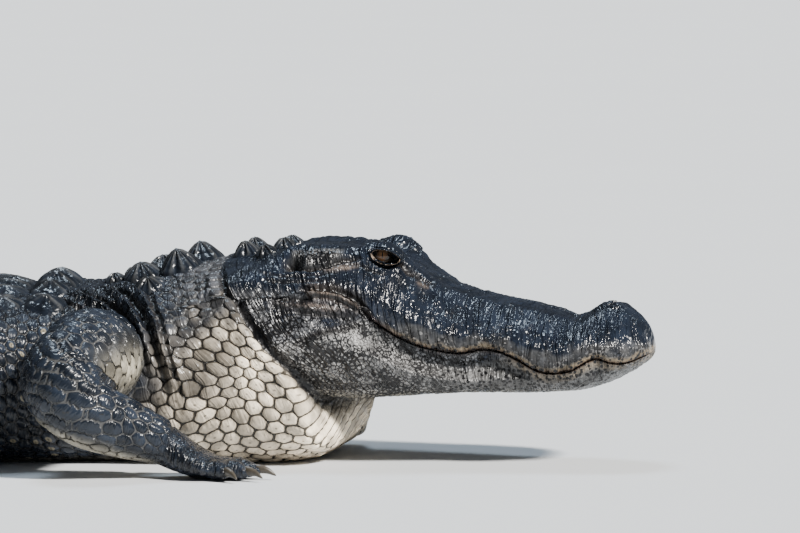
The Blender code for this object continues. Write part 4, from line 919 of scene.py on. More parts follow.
def hide_material(name):
    """Reptile hide. The piece's own colours are mottled. Six-sided plates come from the attribute "tile",
    each of its own tone, some with a pale spot or a pore, and with lines between them. Speckles and a dark
    network come from "marks". Wrinkles run beside the rows of plates over fine pebbles, and a damp gloss
    follows "gloss"."""
    material = bpy.data.materials.new(name)
    material.use_nodes = True
    tree = material.node_tree
    nodes, links = tree.nodes, tree.links
    shader = nodes["Principled BSDF"]
    place = nodes.new("ShaderNodeTexCoord").outputs["Object"]
    colours = bpy.context.scene.alligator_colours
    paint = {key: tuple(getattr(colours, key)) for key in ("spot", "pore", "gap", "web", "mark")}

    def put(value, socket):
        if isinstance(value, tuple):
            socket.default_value = (*value, 1)
        elif isinstance(value, (int, float)):
            socket.default_value = value
        else:
            links.new(value, socket)

    def attribute(key, output):
        node = nodes.new("ShaderNodeAttribute")
        node.attribute_name = key
        return node.outputs[output]

    def maths(kind, *values):
        node = nodes.new("ShaderNodeMath")
        node.operation = kind
        for socket, value in zip(node.inputs, values):
            put(value, socket)
        return node.outputs[0]

    def add(a, b):
        return maths("ADD", a, b)

    def take(a, b):
        return maths("SUBTRACT", a, b)

    def times(a, b):
        return maths("MULTIPLY", a, b)

    def noise(size, detail, distortion=0.0, vector=place):
        node = nodes.new("ShaderNodeTexNoise")
        for key, value in (("Scale", size), ("Detail", detail), ("Distortion", distortion)):
            node.inputs[key].default_value = value
        links.new(vector, node.inputs["Vector"])
        return node.outputs

    def distance(size, feature="F1", vector=place):
        node = nodes.new("ShaderNodeTexVoronoi")
        node.feature = feature
        node.inputs["Scale"].default_value = size
        links.new(vector, node.inputs["Vector"])
        return node.outputs["Distance"]

    def ramp(value, low, high, start=0.0, end=1.0):
        node = nodes.new("ShaderNodeMapRange")
        node.interpolation_type = "SMOOTHSTEP"
        for socket, setting in zip(node.inputs, (value, low, high, start, end)):
            put(setting, socket)
        return node.outputs["Result"]

    def mixed(kind, factor, a, b):
        node = nodes.new("ShaderNodeMix")
        node.data_type = "RGBA"
        node.blend_type = kind
        for socket, value in ((node.inputs[0], factor), (node.inputs[6], a), (node.inputs[7], b)):
            put(value, socket)
        return node.outputs[2]

    def bundle(x, y, z=0.0):
        node = nodes.new("ShaderNodeCombineXYZ")
        for socket, value in zip(node.inputs, (x, y, z)):
            put(value, socket)
        return node.outputs[0]

    def split(vector):
        node = nodes.new("ShaderNodeSeparateXYZ")
        links.new(vector, node.inputs[0])
        return node.outputs

    # The plates by the same formula as hexes: the place from the nearer plate's middle, and the distance
    # inwards
    p, q, weight = split(attribute("tile", "Vector"))
    dots, network, line = split(attribute("marks", "Vector"))
    halves = []
    for shift in (0.0, 1.0):
        a = maths("WRAP", take(p, 0.5 * shift), 0.5, -0.5)
        b = times(maths("WRAP", take(q, shift), 1.0, -1.0), ROW_HEIGHT)
        halves.append((a, b, add(times(a, a), times(b, b))))
    (a0, b0, d0), (a1, b1, d1) = halves
    first = maths("LESS_THAN", d0, d1)
    a, b = add(a1, times(first, take(a0, a1))), add(b1, times(first, take(b0, b1)))
    wide, high = maths("ABSOLUTE", a), maths("ABSOLUTE", b)
    sides = maths("MAXIMUM", wide, add(times(wide, 0.5), times(high, ROW_HEIGHT)))
    middle = maths("SQRT", add(times(a, a), times(b, b)))
    inner = take(0.5, add(times(sides, 1 - PLATE_ROUNDING), times(middle, PLATE_ROUNDING)))
    chosen = nodes.new("ShaderNodeTexWhiteNoise")
    chosen.noise_dimensions = "2D"
    name_of_plate = [maths("ROUND", times(take(whole, part), 2.0))
                     for whole, part in ((p, a), (q, maths("DIVIDE", b, ROW_HEIGHT)))]
    links.new(bundle(*name_of_plate), chosen.inputs["Vector"])
    number = chosen.outputs["Value"]

    # Tone, spots, pores and the lines between the plates
    inner = add(inner, times(take(noise(170, 3)["Fac"], 0.5), 0.10))
    groove = times(ramp(inner, *GROOVE_EDGE), weight)
    mottle = ramp(noise(45, 5)["Fac"], 0.3, 0.7, 0.55, 1.35)
    tone = times(mottle, add(1.0, times(weight, times(take(number, 0.5), 0.9))))
    colour = mixed("MULTIPLY", 1.0, attribute("hide_colour", "Color"), bundle(tone, tone, tone))
    spotted = maths("GREATER_THAN", number, take(1.0, attribute("spot", "Fac")))
    colour = mixed("MIX", times(times(spotted, ramp(inner, *SPOT_EDGE)), 0.7), colour, paint["spot"])
    pored = times(weight, maths("GREATER_THAN", number, 0.45))
    colour = mixed("MIX", times(times(ramp(inner, *PORE_EDGE), pored), 0.6), colour, paint["pore"])
    colour = mixed("MIX", times(groove, 0.92), colour, mixed("MIX", line, paint["gap"], paint["web"]))

    # Speckles round scattered points, and a network of lines between bent cells
    blotch = add(distance(SPECKLE_SCALE), times(noise(95, 2)["Fac"], 0.4))
    speckle = times(ramp(blotch, 0.68, 0.60), dots)
    bent = nodes.new("ShaderNodeVectorMath")
    bent.operation = "MULTIPLY_ADD"
    links.new(noise(140, 2)["Color"], bent.inputs[0])
    bent.inputs[1].default_value = (NETWORK_BEND, NETWORK_BEND, NETWORK_BEND)
    links.new(place, bent.inputs[2])
    width = ramp(noise(40, 3)["Fac"], 0.35, 0.65, 0.06, 0.26)
    from_line = take(distance(NETWORK_SCALE, "DISTANCE_TO_EDGE", bent.outputs[0]), width)
    lines = times(ramp(from_line, NETWORK_SOFT, -NETWORK_SOFT), network)
    colour = mixed("MIX", times(maths("MAXIMUM", speckle, lines), 0.97), colour, paint["mark"])
    links.new(colour, shader.inputs["Base Color"])

    # Relief, softer on whole plates and cut by the dark grooves between them
    _, across, up = split(place)
    rows = bundle(times(q, ROW_WRINKLES), times(across, WRINKLE_SPREAD), times(up, WRINKLE_SPREAD))
    wrinkle = maths("ABSOLUTE", take(noise(1.0, 1, 0.8, rows)["Fac"], 0.5))
    crease = maths("ABSOLUTE", take(noise(CREASE_SCALE, 1, 0.8)["Fac"], 0.5))
    height = add(times(wrinkle, WRINKLES), times(crease, CREASES))
    height = take(height, times(distance(PEBBLE_SCALE), PEBBLES))
    height = times(height, take(1.0, times(weight, 0.68)))
    height = take(height, times(times(groove, take(1.0, times(line, 1.7))), GROOVES))
    lump = nodes.new("ShaderNodeBump")
    lump.inputs["Strength"].default_value = 1.0
    lump.inputs["Distance"].default_value = HIDE_DEPTH
    links.new(height, lump.inputs["Height"])
    links.new(lump.outputs["Normal"], shader.inputs["Normal"])
    damp = add(times(attribute("gloss", "Fac"), -DAMP), HIDE_ROUGHNESS)
    links.new(add(damp, ramp(noise(60, 2)["Fac"], 0.3, 0.7, -0.05, 0.07)), shader.inputs["Roughness"])
    shader.inputs["Specular IOR Level"].default_value = HIDE_SPECULAR
    return material


# Plates on the legs: their size, the girth of a limb over two pi, and what makes the plates uneven, as a
# share of a plate, a size along the limb and turns round it; the heights of the plates, of the foot's
# scales and of wrinkles
LEG_PLATE, LEG_GIRTH = 0.0205, 0.044
LEG_WAVERS = [(0.6, 0.050, 1.0), (0.25, 0.018, 2.5)]
LEG_PLATE_HEIGHT, FOOT_SCALE_HEIGHT, LEG_WRINKLE_HEIGHT = 0.0030, 0.0009, 0.0016
FOOT_SCALE, LEG_WRINKLE = 0.007, (0.010, 0.016)


def limb_rows(place, long):
    """Counts rows of plates along a limb: close ridges on the upper part, whole plates below."""
    along = np.linspace(-0.2, 1.4, 400)
    step = LEG_PLATE * (0.52 + 0.40 * ease(along, 0.30, 0.52))
    rows = np.cumsum((along[1] - along[0]) * long / step)
    return np.interp(place / long, along, rows)


def limb_path(points, sign, count):
    """World points and half sizes along a limb, on smooth curves through its list of (s, side, height, half
    width, half height)."""
    table = np.array(points)
    world = to_world(table[:, 0], sign * table[:, 1], table[:, 2])
    place = np.concatenate([[0], np.cumsum(np.linalg.norm(np.diff(world, axis=0), axis=1))])
    t = np.linspace(0, place[-1], count)
    columns = [size_at(list(zip(place, values)), t) for values in (*world.T, table[:, 3], table[:, 4])]
    return np.stack(columns[:3], 1), columns[3], columns[4]


def tube(path, widths, heights, around):
    """Points and faces of a closed tube: ovals square to the path, with a point at each end, and flat where
    they would go under the ground."""
    path = np.array(path, float)
    along = np.gradient(path, axis=0)
    along /= np.linalg.norm(along, axis=1)[:, None]
    side = np.cross((0, 0, 1.0), along)
    side /= np.linalg.norm(side, axis=1)[:, None]
    up = np.cross(along, side)
    angle = np.linspace(0, 2 * math.pi, around, endpoint=False)[None, :, None]
    rings = (path[:, None] + side[:, None] * np.cos(angle) * np.array(widths)[:, None, None]
             + up[:, None] * np.sin(angle) * np.array(heights)[:, None, None])
    rings[..., 2] = np.maximum(rings[..., 2], 0)
    points = np.concatenate([rings.reshape(-1, 3), rings[:1].mean(1), rings[-1:].mean(1)])
    return points, closed_faces(len(path), around)


def joined(parts):
    """One set of points and faces from several."""
    points, quads, triangles, start = [], [], [], 0
    for p, faces in parts:
        points.append(p)
        for f in faces:
            (quads if f.shape[1] == 4 else triangles).append(f + start)
        start += len(p)
    faces = [np.concatenate(group) for group in (quads, triangles) if group]
    return np.concatenate(points), faces


def foot_parts(bones, toes, radius, sign, webbed):
    """The tubes of a foot: the pad, its toes spread like a fan, a heel and webs on a hind foot; and its
    claws' roots and directions."""
    path, widths, heights = limb_path(bones, sign, 24)
    parts = [tube(path, widths, heights, 24)]
    end, level = path[-1], np.array([1, 1, 0])
    ahead = (end - path[-5]) * level
    ahead /= np.linalg.norm(ahead)
    t = np.linspace(0, 1, 20)
    rise = radius * size_at([(0, 0.95), (0.45, 1.02), (0.85, 0.86), (1, 0.72)], t)
    knuckles = 1 + 0.07 * np.sin(2 * math.pi * 3 * t)
    thick = radius * knuckles * size_at([(0, 1.0), (0.45, 0.96), (0.85, 0.80), (0.96, 0.55), (1, 0.34)], t)
    tips, claws = [], []
    for spread, angle, length, clawed in toes:
        turn = math.radians(-angle * sign)
        way = np.array([ahead[0] * math.cos(turn) - ahead[1] * math.sin(turn),
                        ahead[0] * math.sin(turn) + ahead[1] * math.cos(turn), 0])
        root = (end - ahead * 0.018 + way * (spread * 0.35 - TOE_ROOT)) * level
        reach = length + TOE_ROOT
        path = root + way * (reach * t)[:, None] + np.array([0, 0, 1.0]) * rise[:, None]
        parts.append(tube(path, thick, 0.92 * thick, 16))
        tips.append(root + way * (WEB_REACH * reach))
        if clawed:
            claws.append((path[-1] - way * 0.004, way))
    if webbed:
        parts.append(tube(*limb_path(HIND_HEEL, sign, 12), 20))
        parts += [web(end - ahead * 0.02, near, far, end) for near, far in zip(tips, tips[1:])]
    return parts, claws


def web(root, near, far, end):
    """A web between two toes: a closed sheet whose front edge hangs back in a curve between their tips."""
    u, v = np.meshgrid(np.linspace(0, 1, 12), np.linspace(0, 1, 9), indexing="ij")
    u, v = u[..., None], v[..., None]
    middle = root + ((near - root) * (1 - v) + (far - root) * v) * u
    sag = u * WEB_HANG * 4 * v * (1 - v)
    top = middle * (1 - sag) + np.array(end) * sag
    low, high = top.copy(), top.copy()
    low[..., 2], high[..., 2] = 0.0, WEB_THICK
    rows, columns = top.shape[:2]
    index = np.arange(rows * columns).reshape(rows, columns)
    lid, count = sheet_faces(rows, columns), rows * columns
    rim = np.concatenate([index[0], index[1:, -1], index[-1, -2::-1], index[-2:0:-1, 0]])
    after = np.roll(rim, -1)
    wall = np.stack([rim, after, after + count, rim + count], -1)
    faces = np.concatenate([lid, lid[:, ::-1] + count, wall])
    return np.concatenate([low.reshape(-1, 3), high.reshape(-1, 3)]), [faces]


def fused(name, parts, voxel):
    """One closed surface round several closed parts: they are joined, remeshed in cubes of this size and
    smoothed. Returns its points, faces and normals as arrays."""
    points, faces = joined(parts)
    obj = add_mesh(name, points, faces, [])
    remesh = obj.modifiers.new("remesh", "REMESH")
    remesh.mode = "VOXEL"
    remesh.voxel_size = voxel
    smooth = obj.modifiers.new("smooth", "SMOOTH")
    smooth.factor = 0.5
    smooth.iterations = 10
    evaluated = obj.evaluated_get(bpy.context.evaluated_depsgraph_get())
    mesh = evaluated.to_mesh()
    count = len(mesh.vertices)
    points = np.empty(count * 3, np.float32)
    mesh.vertices.foreach_get("co", points)
    normals = np.empty(count * 3, np.float32)
    mesh.vertex_normals.foreach_get("vector", normals)
    sizes = np.empty(len(mesh.polygons), np.int32)
    mesh.polygons.foreach_get("loop_total", sizes)
    corners = np.empty(len(mesh.loops), np.int32)
    mesh.loops.foreach_get("vertex_index", corners)
    starts = np.concatenate([[0], np.cumsum(sizes)[:-1]])
    faces = []
    for size in np.unique(sizes):
        first = starts[sizes == size]
        faces.append(corners[first[:, None] + np.arange(size)[None]])
    evaluated.to_mesh_clear()
    bpy.data.objects.remove(obj)
    return points.reshape(-1, 3).astype(float), faces, normals.reshape(-1, 3).astype(float)


def along_path(points, path):
    """For each point, the distance along a path of its nearest place there, and the angle round it from its
    top; and the path's length."""
    best = np.full(len(points), FAR)
    near = np.zeros(len(points), int)
    for k, place in enumerate(path):
        d = ((points - place) ** 2).sum(1)
        closer = d < best
        best = np.where(closer, d, best)
        near = np.where(closer, k, near)
    tangent = np.gradient(path, axis=0)
    tangent /= np.linalg.norm(tangent, axis=1)[:, None]
    length = np.concatenate([[0], np.cumsum(np.linalg.norm(np.diff(path, axis=0), axis=1))])
    offset = points - path[near]
    place = length[near] + (offset * tangent[near]).sum(1)
    side = np.cross((0, 0, 1.0), tangent[near])
    side /= np.linalg.norm(side, axis=1)[:, None]
    up = np.cross(tangent[near], side)
    return place, np.arctan2((offset * side).sum(1), (offset * up).sum(1)), length[-1]


def leg(name, upper, bones, toes, radius, sign, webbed, voxel, *nodes):
    """A leg and its foot as one skin: tubes fused into one surface, with six-sided plates raised over it in
    rows round the limb, wrinkles above the elbow or knee and fine scales on the toes; cream on the inner
    side."""
    foot, claws = foot_parts(bones, toes, radius, sign, webbed)
    points, faces, normals = fused(name, [tube(*limb_path(upper, sign, 60), 40), *foot], voxel)
    line = limb_path([*upper[:-1], *bones[2:]], sign, 90)[0]
    place, angle, long = along_path(points, line)
    along = place / long
    on_foot = ease(along, 0.78, 0.88)
    waver = [sum(share * (clouds(place / size, turns * angle, seed + 2 * i, 1) - 0.5)
                 for i, (share, size, turns) in enumerate(LEG_WAVERS)) for seed in (34, 35)]
    p = angle * LEG_GIRTH / LEG_PLATE + waver[0]
    q = limb_rows(place, long) + waver[1]
    weight = (1 - on_foot) * (1 - ease(np.abs(angle), 2.75, 3.05))
    inner = hexes(p, q)
    rise = ease(inner, 0.0, 0.12) * (0.7 + 0.3 * ease(inner, 0.05, 0.5))
    fine = scales(points[:, 0] / FOOT_SCALE, points[:, 1] / FOOT_SCALE, 0.5, 33, 0.25, 0.5)
    crinkle = wrinkles(place / LEG_WRINKLE[0], angle * LEG_GIRTH / LEG_WRINKLE[1], 44)
    wrinkled = (1 - on_foot) * (1 - 0.7 * ease(along, 0.40, 0.55))
    amount = (LEG_PLATE_HEIGHT * weight * (rise - 0.8) + FOOT_SCALE_HEIGHT * on_foot * (fine - 0.8)
              + LEG_WRINKLE_HEIGHT * wrinkled * (crinkle - 0.6))
    points = points + normals * amount[:, None]
    points[:, 2] = np.maximum(points[:, 2], 0)
    colours = bpy.context.scene.alligator_colours
    dark, cream, groove = (np.array(getattr(colours, key)[:]) for key in ("dark", "belly", "groove"))
    vary = clouds(place / 0.03, angle, 41)[:, None]
    under = ease(np.abs(angle), 2.2, 2.8) * (1 - on_foot)
    inside = bell(angle * sign, -1.80, 0.50) * window(along, 0.14, 0.30, 0.42, 0.52)
    pale = np.clip(0.5 * under + 0.6 * inside * (0.5 + vary[:, 0]), 0, 1)
    colour = dark * (0.6 + 0.9 * vary)
    colour = colour + (cream - colour) * pale[:, None]
    colour = colour + (groove - colour) * (0.6 * on_foot * (1 - fine))[:, None]
    line_tone = 0.5 * (1 - on_foot) * (1 - ease(pale, 0.1, 0.4))
    zero = np.zeros(len(points))
    uv_point = np.stack([angle / (2 * math.pi) + 0.5, along], -1)
    obj = add_mesh(name, points, faces, [hide()], uv=corner_uv(uv_point, faces), attributes={
        "hide_colour": colour, "tile": np.stack([p, q, weight], -1), "spot": zero,
        "marks": np.stack([zero, zero, line_tone], -1), "gloss": 1.0 - 0.6 * pale})
    finish_piece(obj, "leg_skin", *nodes)
    return claws


def surface_at(s, side):
    """Points and outward normals of the back at each (s, side): the outline's height there, found by
    halving its share of the way round, and slopes by small steps."""

    def height(place, across):
        shape = place.shape
        place, across = place.ravel(), np.abs(across).ravel()
        low, high = np.zeros(place.shape), np.full(place.shape, 0.5)
        for _ in range(22):
            middle = (low + high) / 2
            inside = body_outline(place, middle)[:, 0] < across
            low, high = np.where(inside, middle, low), np.where(inside, high, middle)
        body = body_outline(place, low)[:, 1]
        ahead = place < 0.08
        if ahead.any():
            low, high = np.zeros(ahead.sum()), np.ones(ahead.sum())
            for _ in range(18):
                middle = (low + high) / 2
                inside = upper_head(-place[ahead], middle)[:, 0] < across[ahead]
                low, high = np.where(inside, middle, low), np.where(inside, high, middle)
            skull = upper_head(-place[ahead], low)[:, 1]
            weight = ease(place[ahead], 0.045, 0.075)
            body[ahead] = skull * (1 - weight) + body[ahead] * weight
        return body.reshape(shape)

    def point(place, across):
        return to_world(place, across, height(place, across))

    step = 0.003
    along = point(s - step, side) - point(s + step, side)
    normal = np.cross(along, point(s, side + step) - point(s, side - step))
    return point(s, side), normal / np.linalg.norm(normal, axis=-1, keepdims=True)


def plates(name, table, slot, spokes, rings=9, ribs=0.0, cone=0.0):
    """Bony plates set on the skin: each an oval of (s, side, length, width, keel, lean, blade), raised as a
    low dome with a keel along it that is highest behind its middle, or as a cone with grooves down its
    sides, and its rim sunk in the skin."""
    table = np.array(table, float)
    turn = np.linspace(0, 2 * math.pi, spokes, endpoint=False)
    reach = np.linspace(1, 0, rings, endpoint=False) ** 0.85
    r, angle = np.meshgrid(reach, turn, indexing="ij")
    r, angle = np.append(r.ravel(), 0.0), np.append(angle.ravel(), 0.0)
    power = PLATE_SQUARE
    box = (np.abs(np.cos(angle)) ** power + np.abs(np.sin(angle)) ** power) ** (-1 / power)
    a, b = r * np.cos(angle) * box, r * np.sin(angle) * box
    s0, side0, length, width, keel, lean, blade = (column[:, None] for column in table.T)
    wobble = 1 + 0.05 * np.sin(3 * angle[None] + 40 * s0) + 0.04 * np.sin(5 * angle[None] + 90 * s0)
    s = s0 - a * length / 2 * PLATE_OVERLAP * wobble
    side = side0 + b * width / 2 * PLATE_OVERLAP * wobble
    here, normal = surface_at(s, side)
    up = surface_at(s0, side0)[1]
    crest = np.exp(-((b / (0.10 + 0.22 * blade)) ** 2) ** 0.75)
    profile = np.clip(1 - ((a + lean) / np.where(a > -lean, 1 + lean, 1 - lean)) ** 2, 0, 1) ** 0.75
    crown = (1 - cone) * crest * profile + cone * (1 - np.clip(r, 0, 1)) ** 0.9
    dome = np.clip(1 - r**2.4, 0, 1)
    fine = 17 if spokes > FINE_SPOKES else 5
    groove = 0.4 * np.sin(7 * angle + 5 * s0 / length) + 0.6 * np.sin(fine * angle + 3 * np.sin(2 * angle))
    groove = ribs * groove * window(r, 0.05, 0.30, 0.85, 1.0)
    low = 0.30 - 0.12 * cone
    height = keel * (low * dome + (1.02 - low) * crown * np.clip(1 - r**6, 0, 1)) + RIB_HEIGHT * groove
    height = height - PLATE_SUNK * ease(r, 0.86, 1.0)
    points = here + (0.35 * normal + 0.65 * up) * height[..., None]
    points[..., 2] = np.maximum(points[..., 2], 0.002)
    each = rings * spokes + 1
    start = (np.arange(len(table)) * each)[:, None, None]
    last = (rings - 1) * spokes + np.arange(spokes)
    tip = np.stack([last, np.full(spokes, each - 1), np.roll(last, -1)], -1)
    faces = [(grid_faces(rings, spokes)[None] + start).reshape(-1, 4), (tip[None] + start).reshape(-1, 3)]
    points = points.reshape(-1, 3)
    colours = bpy.context.scene.alligator_colours
    dark, horn = np.array(colours.dark[:]), np.array(colours.horn[:])
    worn = np.clip(height / (keel + 1e-6), 0, 1).ravel()[:, None] ** 3
    vary = clouds(points[:, 0] / 0.012, points[:, 1] / 0.012, 51)[:, None]
    rib = np.broadcast_to(groove, height.shape).ravel()[:, None]
    colour = dark * (0.5 + 0.8 * vary) + (horn - dark) * np.clip(0.5 * worn * vary + 0.35 * rib, 0, 1)
    colour = colour * (1 - 0.7 * np.clip(-rib, 0, 1))
    flat = np.stack([(s / 4 + 0.2).ravel(), (side + 0.5).ravel()], -1)
    obj = add_mesh(name, points, faces, [hide()], uv=corner_uv(flat, faces), attributes={
        "hide_colour": colour, "gloss": np.full(len(points), 0.9)})
    return finish_piece(obj, slot)


def trunk_plate_table():
    """Rows of keeled plates across the back: six in each row, and eight where the trunk is widest; those over
    the shoulders have keels of their own heights."""
    random = np.random.default_rng(7)
    widest = max(half for _, half in HALF_WIDTH)
    table = []
    for row, s in enumerate(np.linspace(TRUNK_FIRST, TRUNK_LAST, TRUNK_ROWS)):
        share = 0.55 + 0.45 * size_at(HALF_WIDTH, s) / widest
        keel = SHOULDER_KEEL[row] if row < len(SHOULDER_KEEL) else 1.0
        for i in range(4 if 0.42 < s < 0.98 else 3):
            for sign in (-1, 1):
                vary = 1 + 0.06 * random.uniform(-1, 1)
                small = 0.84 if i == 3 else 1.0
                place = s + 0.004 * i + 0.002 * random.uniform(-1, 1)
                table.append((place, sign * SCUTE_STEP * share * (i + 0.5), SCUTE_LENGTH * small * vary,
                              SCUTE_WIDTH * share * small, SCUTE_KEEL[i] * keel * vary, *TRUNK_FORM))
    return table


def tail_plate_table():
    """The crest of the tail: a pair of tall blades in each whorl, low ones beside them, then a single row."""
    long = 0.92 * WHORL_STEP
    table = []
    for i, s in enumerate(np.linspace(WHORL_START, PAIR_END, PAIRED_WHORLS)):
        half = size_at(HALF_WIDTH, s) * (1 - size_at(TAIL_TAPER, s))
        apart = half * (0.62 - 0.022 * i)
        for sign in (-1, 1):
            table.append((s, sign * apart, long, 0.019, 0.014 + 0.0010 * i, 0.45, 0.6))
            if i < LOW_WHORLS:
                table.append((s, sign * (apart - 0.022), 0.86 * WHORL_STEP, 0.020, 0.006, 0.3, 0.6))
    for i, s in enumerate(np.linspace(PAIR_END + 0.046, WHORL_END, SINGLE_WHORLS)):
        tall = 0.034 * (1 - 0.55 * i / SINGLE_WHORLS)
        wide = min(0.012, 0.9 * float(size_at(HALF_WIDTH, s)))
        table.append((s, 0.0, long, wide, tall, 0.5, 0.8))
    return table


def eye_material():
    """An eyeball: the colours come from the attribute "iris_colour", broken up by very fine noise, under a
    clear wet coat."""
    material = bpy.data.materials.new("alligator_eye")
    material.use_nodes = True
    nodes, links = material.node_tree.nodes, material.node_tree.links
    shader = nodes["Principled BSDF"]
    colour = nodes.new("ShaderNodeAttribute")
    colour.attribute_name = "iris_colour"
    streak = nodes.new("ShaderNodeTexNoise")
    streak.inputs["Scale"].default_value = 900
    streak.inputs["Detail"].default_value = 4
    links.new(nodes.new("ShaderNodeTexCoord").outputs["Object"], streak.inputs["Vector"])
    mix = nodes.new("ShaderNodeMix")
    mix.data_type = "RGBA"
    mix.blend_type = "MULTIPLY"
    mix.inputs[0].default_value = 0.5
    links.new(colour.outputs["Color"], mix.inputs[6])
    links.new(streak.outputs["Fac"], mix.inputs[7])
    links.new(mix.outputs[2], shader.inputs["Base Color"])
    for key, value in (("Roughness", 0.10), ("Specular IOR Level", 0.25), ("Coat Weight", 0.3),
                       ("Coat Roughness", 0.02)):
        shader.inputs[key].default_value = value
    return material


# The iris in shares of the eyeball's radius: the pupil's half sizes, where amber turns brown, and its
# dark edge; how far the eye looks forwards and up
PUPIL_WIDE, PUPIL_TALL = 0.055, 0.30
IRIS_FADE, IRIS_EDGE = (0.08, 0.40), (0.42, 0.47)
GAZE, GAZE_UP = math.radians(15), math.radians(6)
EYE_RINGS, EYE_COLUMNS = 90, 128


def eyeball(name, sign, material, node):
    """A ball with the poles on the eye's axis, rings crowded round the iris; the colours are bands of the
    distance from the axis, and the pupil is a tall narrow ellipse."""
    polar = math.pi * (np.linspace(0, 1, EYE_RINGS + 1)[1:-1] ** 1.4)
    turn = np.linspace(0, 2 * math.pi, EYE_COLUMNS, endpoint=False)
    p, a = np.meshgrid(polar, turn, indexing="ij")
    rings = np.stack([np.sin(p) * np.cos(a), np.cos(p), np.sin(p) * np.sin(a)], -1).reshape(-1, 3)
    ball = np.concatenate([rings, [[0, 1.0, 0], [0, -1.0, 0]]])
    across, out, up = ball.T
    reach = np.hypot(across, up)
    colours = bpy.context.scene.alligator_colours
    amber, brown, black, white = (np.array(getattr(colours, key)[:]) for key in
                                  ("iris", "iris_edge", "pupil", "eye_white"))

    def spread(low, high, by):
        return low + (high - low) * by[:, None]

    colour = spread(amber, brown, ease(reach, *IRIS_FADE))
    colour = colour * (0.4 + 1.2 * clouds(np.arctan2(up, across) * 9, reach * 6, 61)[:, None])
    colour = spread(colour, white, ease(reach, *IRIS_EDGE))
    colour = spread(black, colour, ease(np.hypot(across / PUPIL_WIDE, up / PUPIL_TALL), 0.85, 1.1))
    colour[out < 0] = black
    ahead = across * math.cos(GAZE) + out * math.sin(GAZE)
    out = out * math.cos(GAZE) - across * math.sin(GAZE)
    level, rise = math.cos(GAZE_UP), math.sin(GAZE_UP)
    out, up = out * level - up * rise, up * level + out * rise
    radius = bpy.context.scene.alligator_sizes.eye_radius
    points = to_world(-(EYE_X + ahead * radius), sign * (EYE_Y + out * radius), EYE_Z + up * radius)
    faces = closed_faces(EYE_RINGS - 1, EYE_COLUMNS)
    if volume(points, faces) < 0:
        faces = [f[:, ::-1] for f in faces]
    obj = add_mesh(name, points, faces, [material], uv=corner_uv(0.5 + 0.5 * ball[:, ::2], faces),
                   attributes={"iris_colour": colour})
    return finish_piece(obj, "eye", node)


def volume(points, faces):
    """The signed volume of a closed surface, above 0 where its faces point out."""
    total = 0.0
    for f in faces:
        a = points[f[:, 0]]
        for k in range(1, f.shape[1] - 1):
            total += (a * np.cross(points[f[:, k]], points[f[:, k + 1]])).sum()
    return total / 6


# Height over the lids' plain band, across it from the eyeball to the brow
LOWER_LID = [(0, -0.001), (0.05, 0.0014), (0.12, 0.003), (0.22, 0.0034), (0.32, 0.0018), (0.4, -0.0004),
             (0.52, 0.0018), (0.7, 0.001), (0.9, -0.002), (1, -0.006)]
UPPER_LID = [(0, -0.001), (0.04, 0.001), (0.09, 0.002), (0.15, 0.0004), (0.2, 0.001), (0.34, 0.0062),
             (0.5, 0.0058), (0.62, 0.0014), (0.72, 0.0026), (0.9, -0.002), (1, -0.006)]
LID_SUNK = 0.003


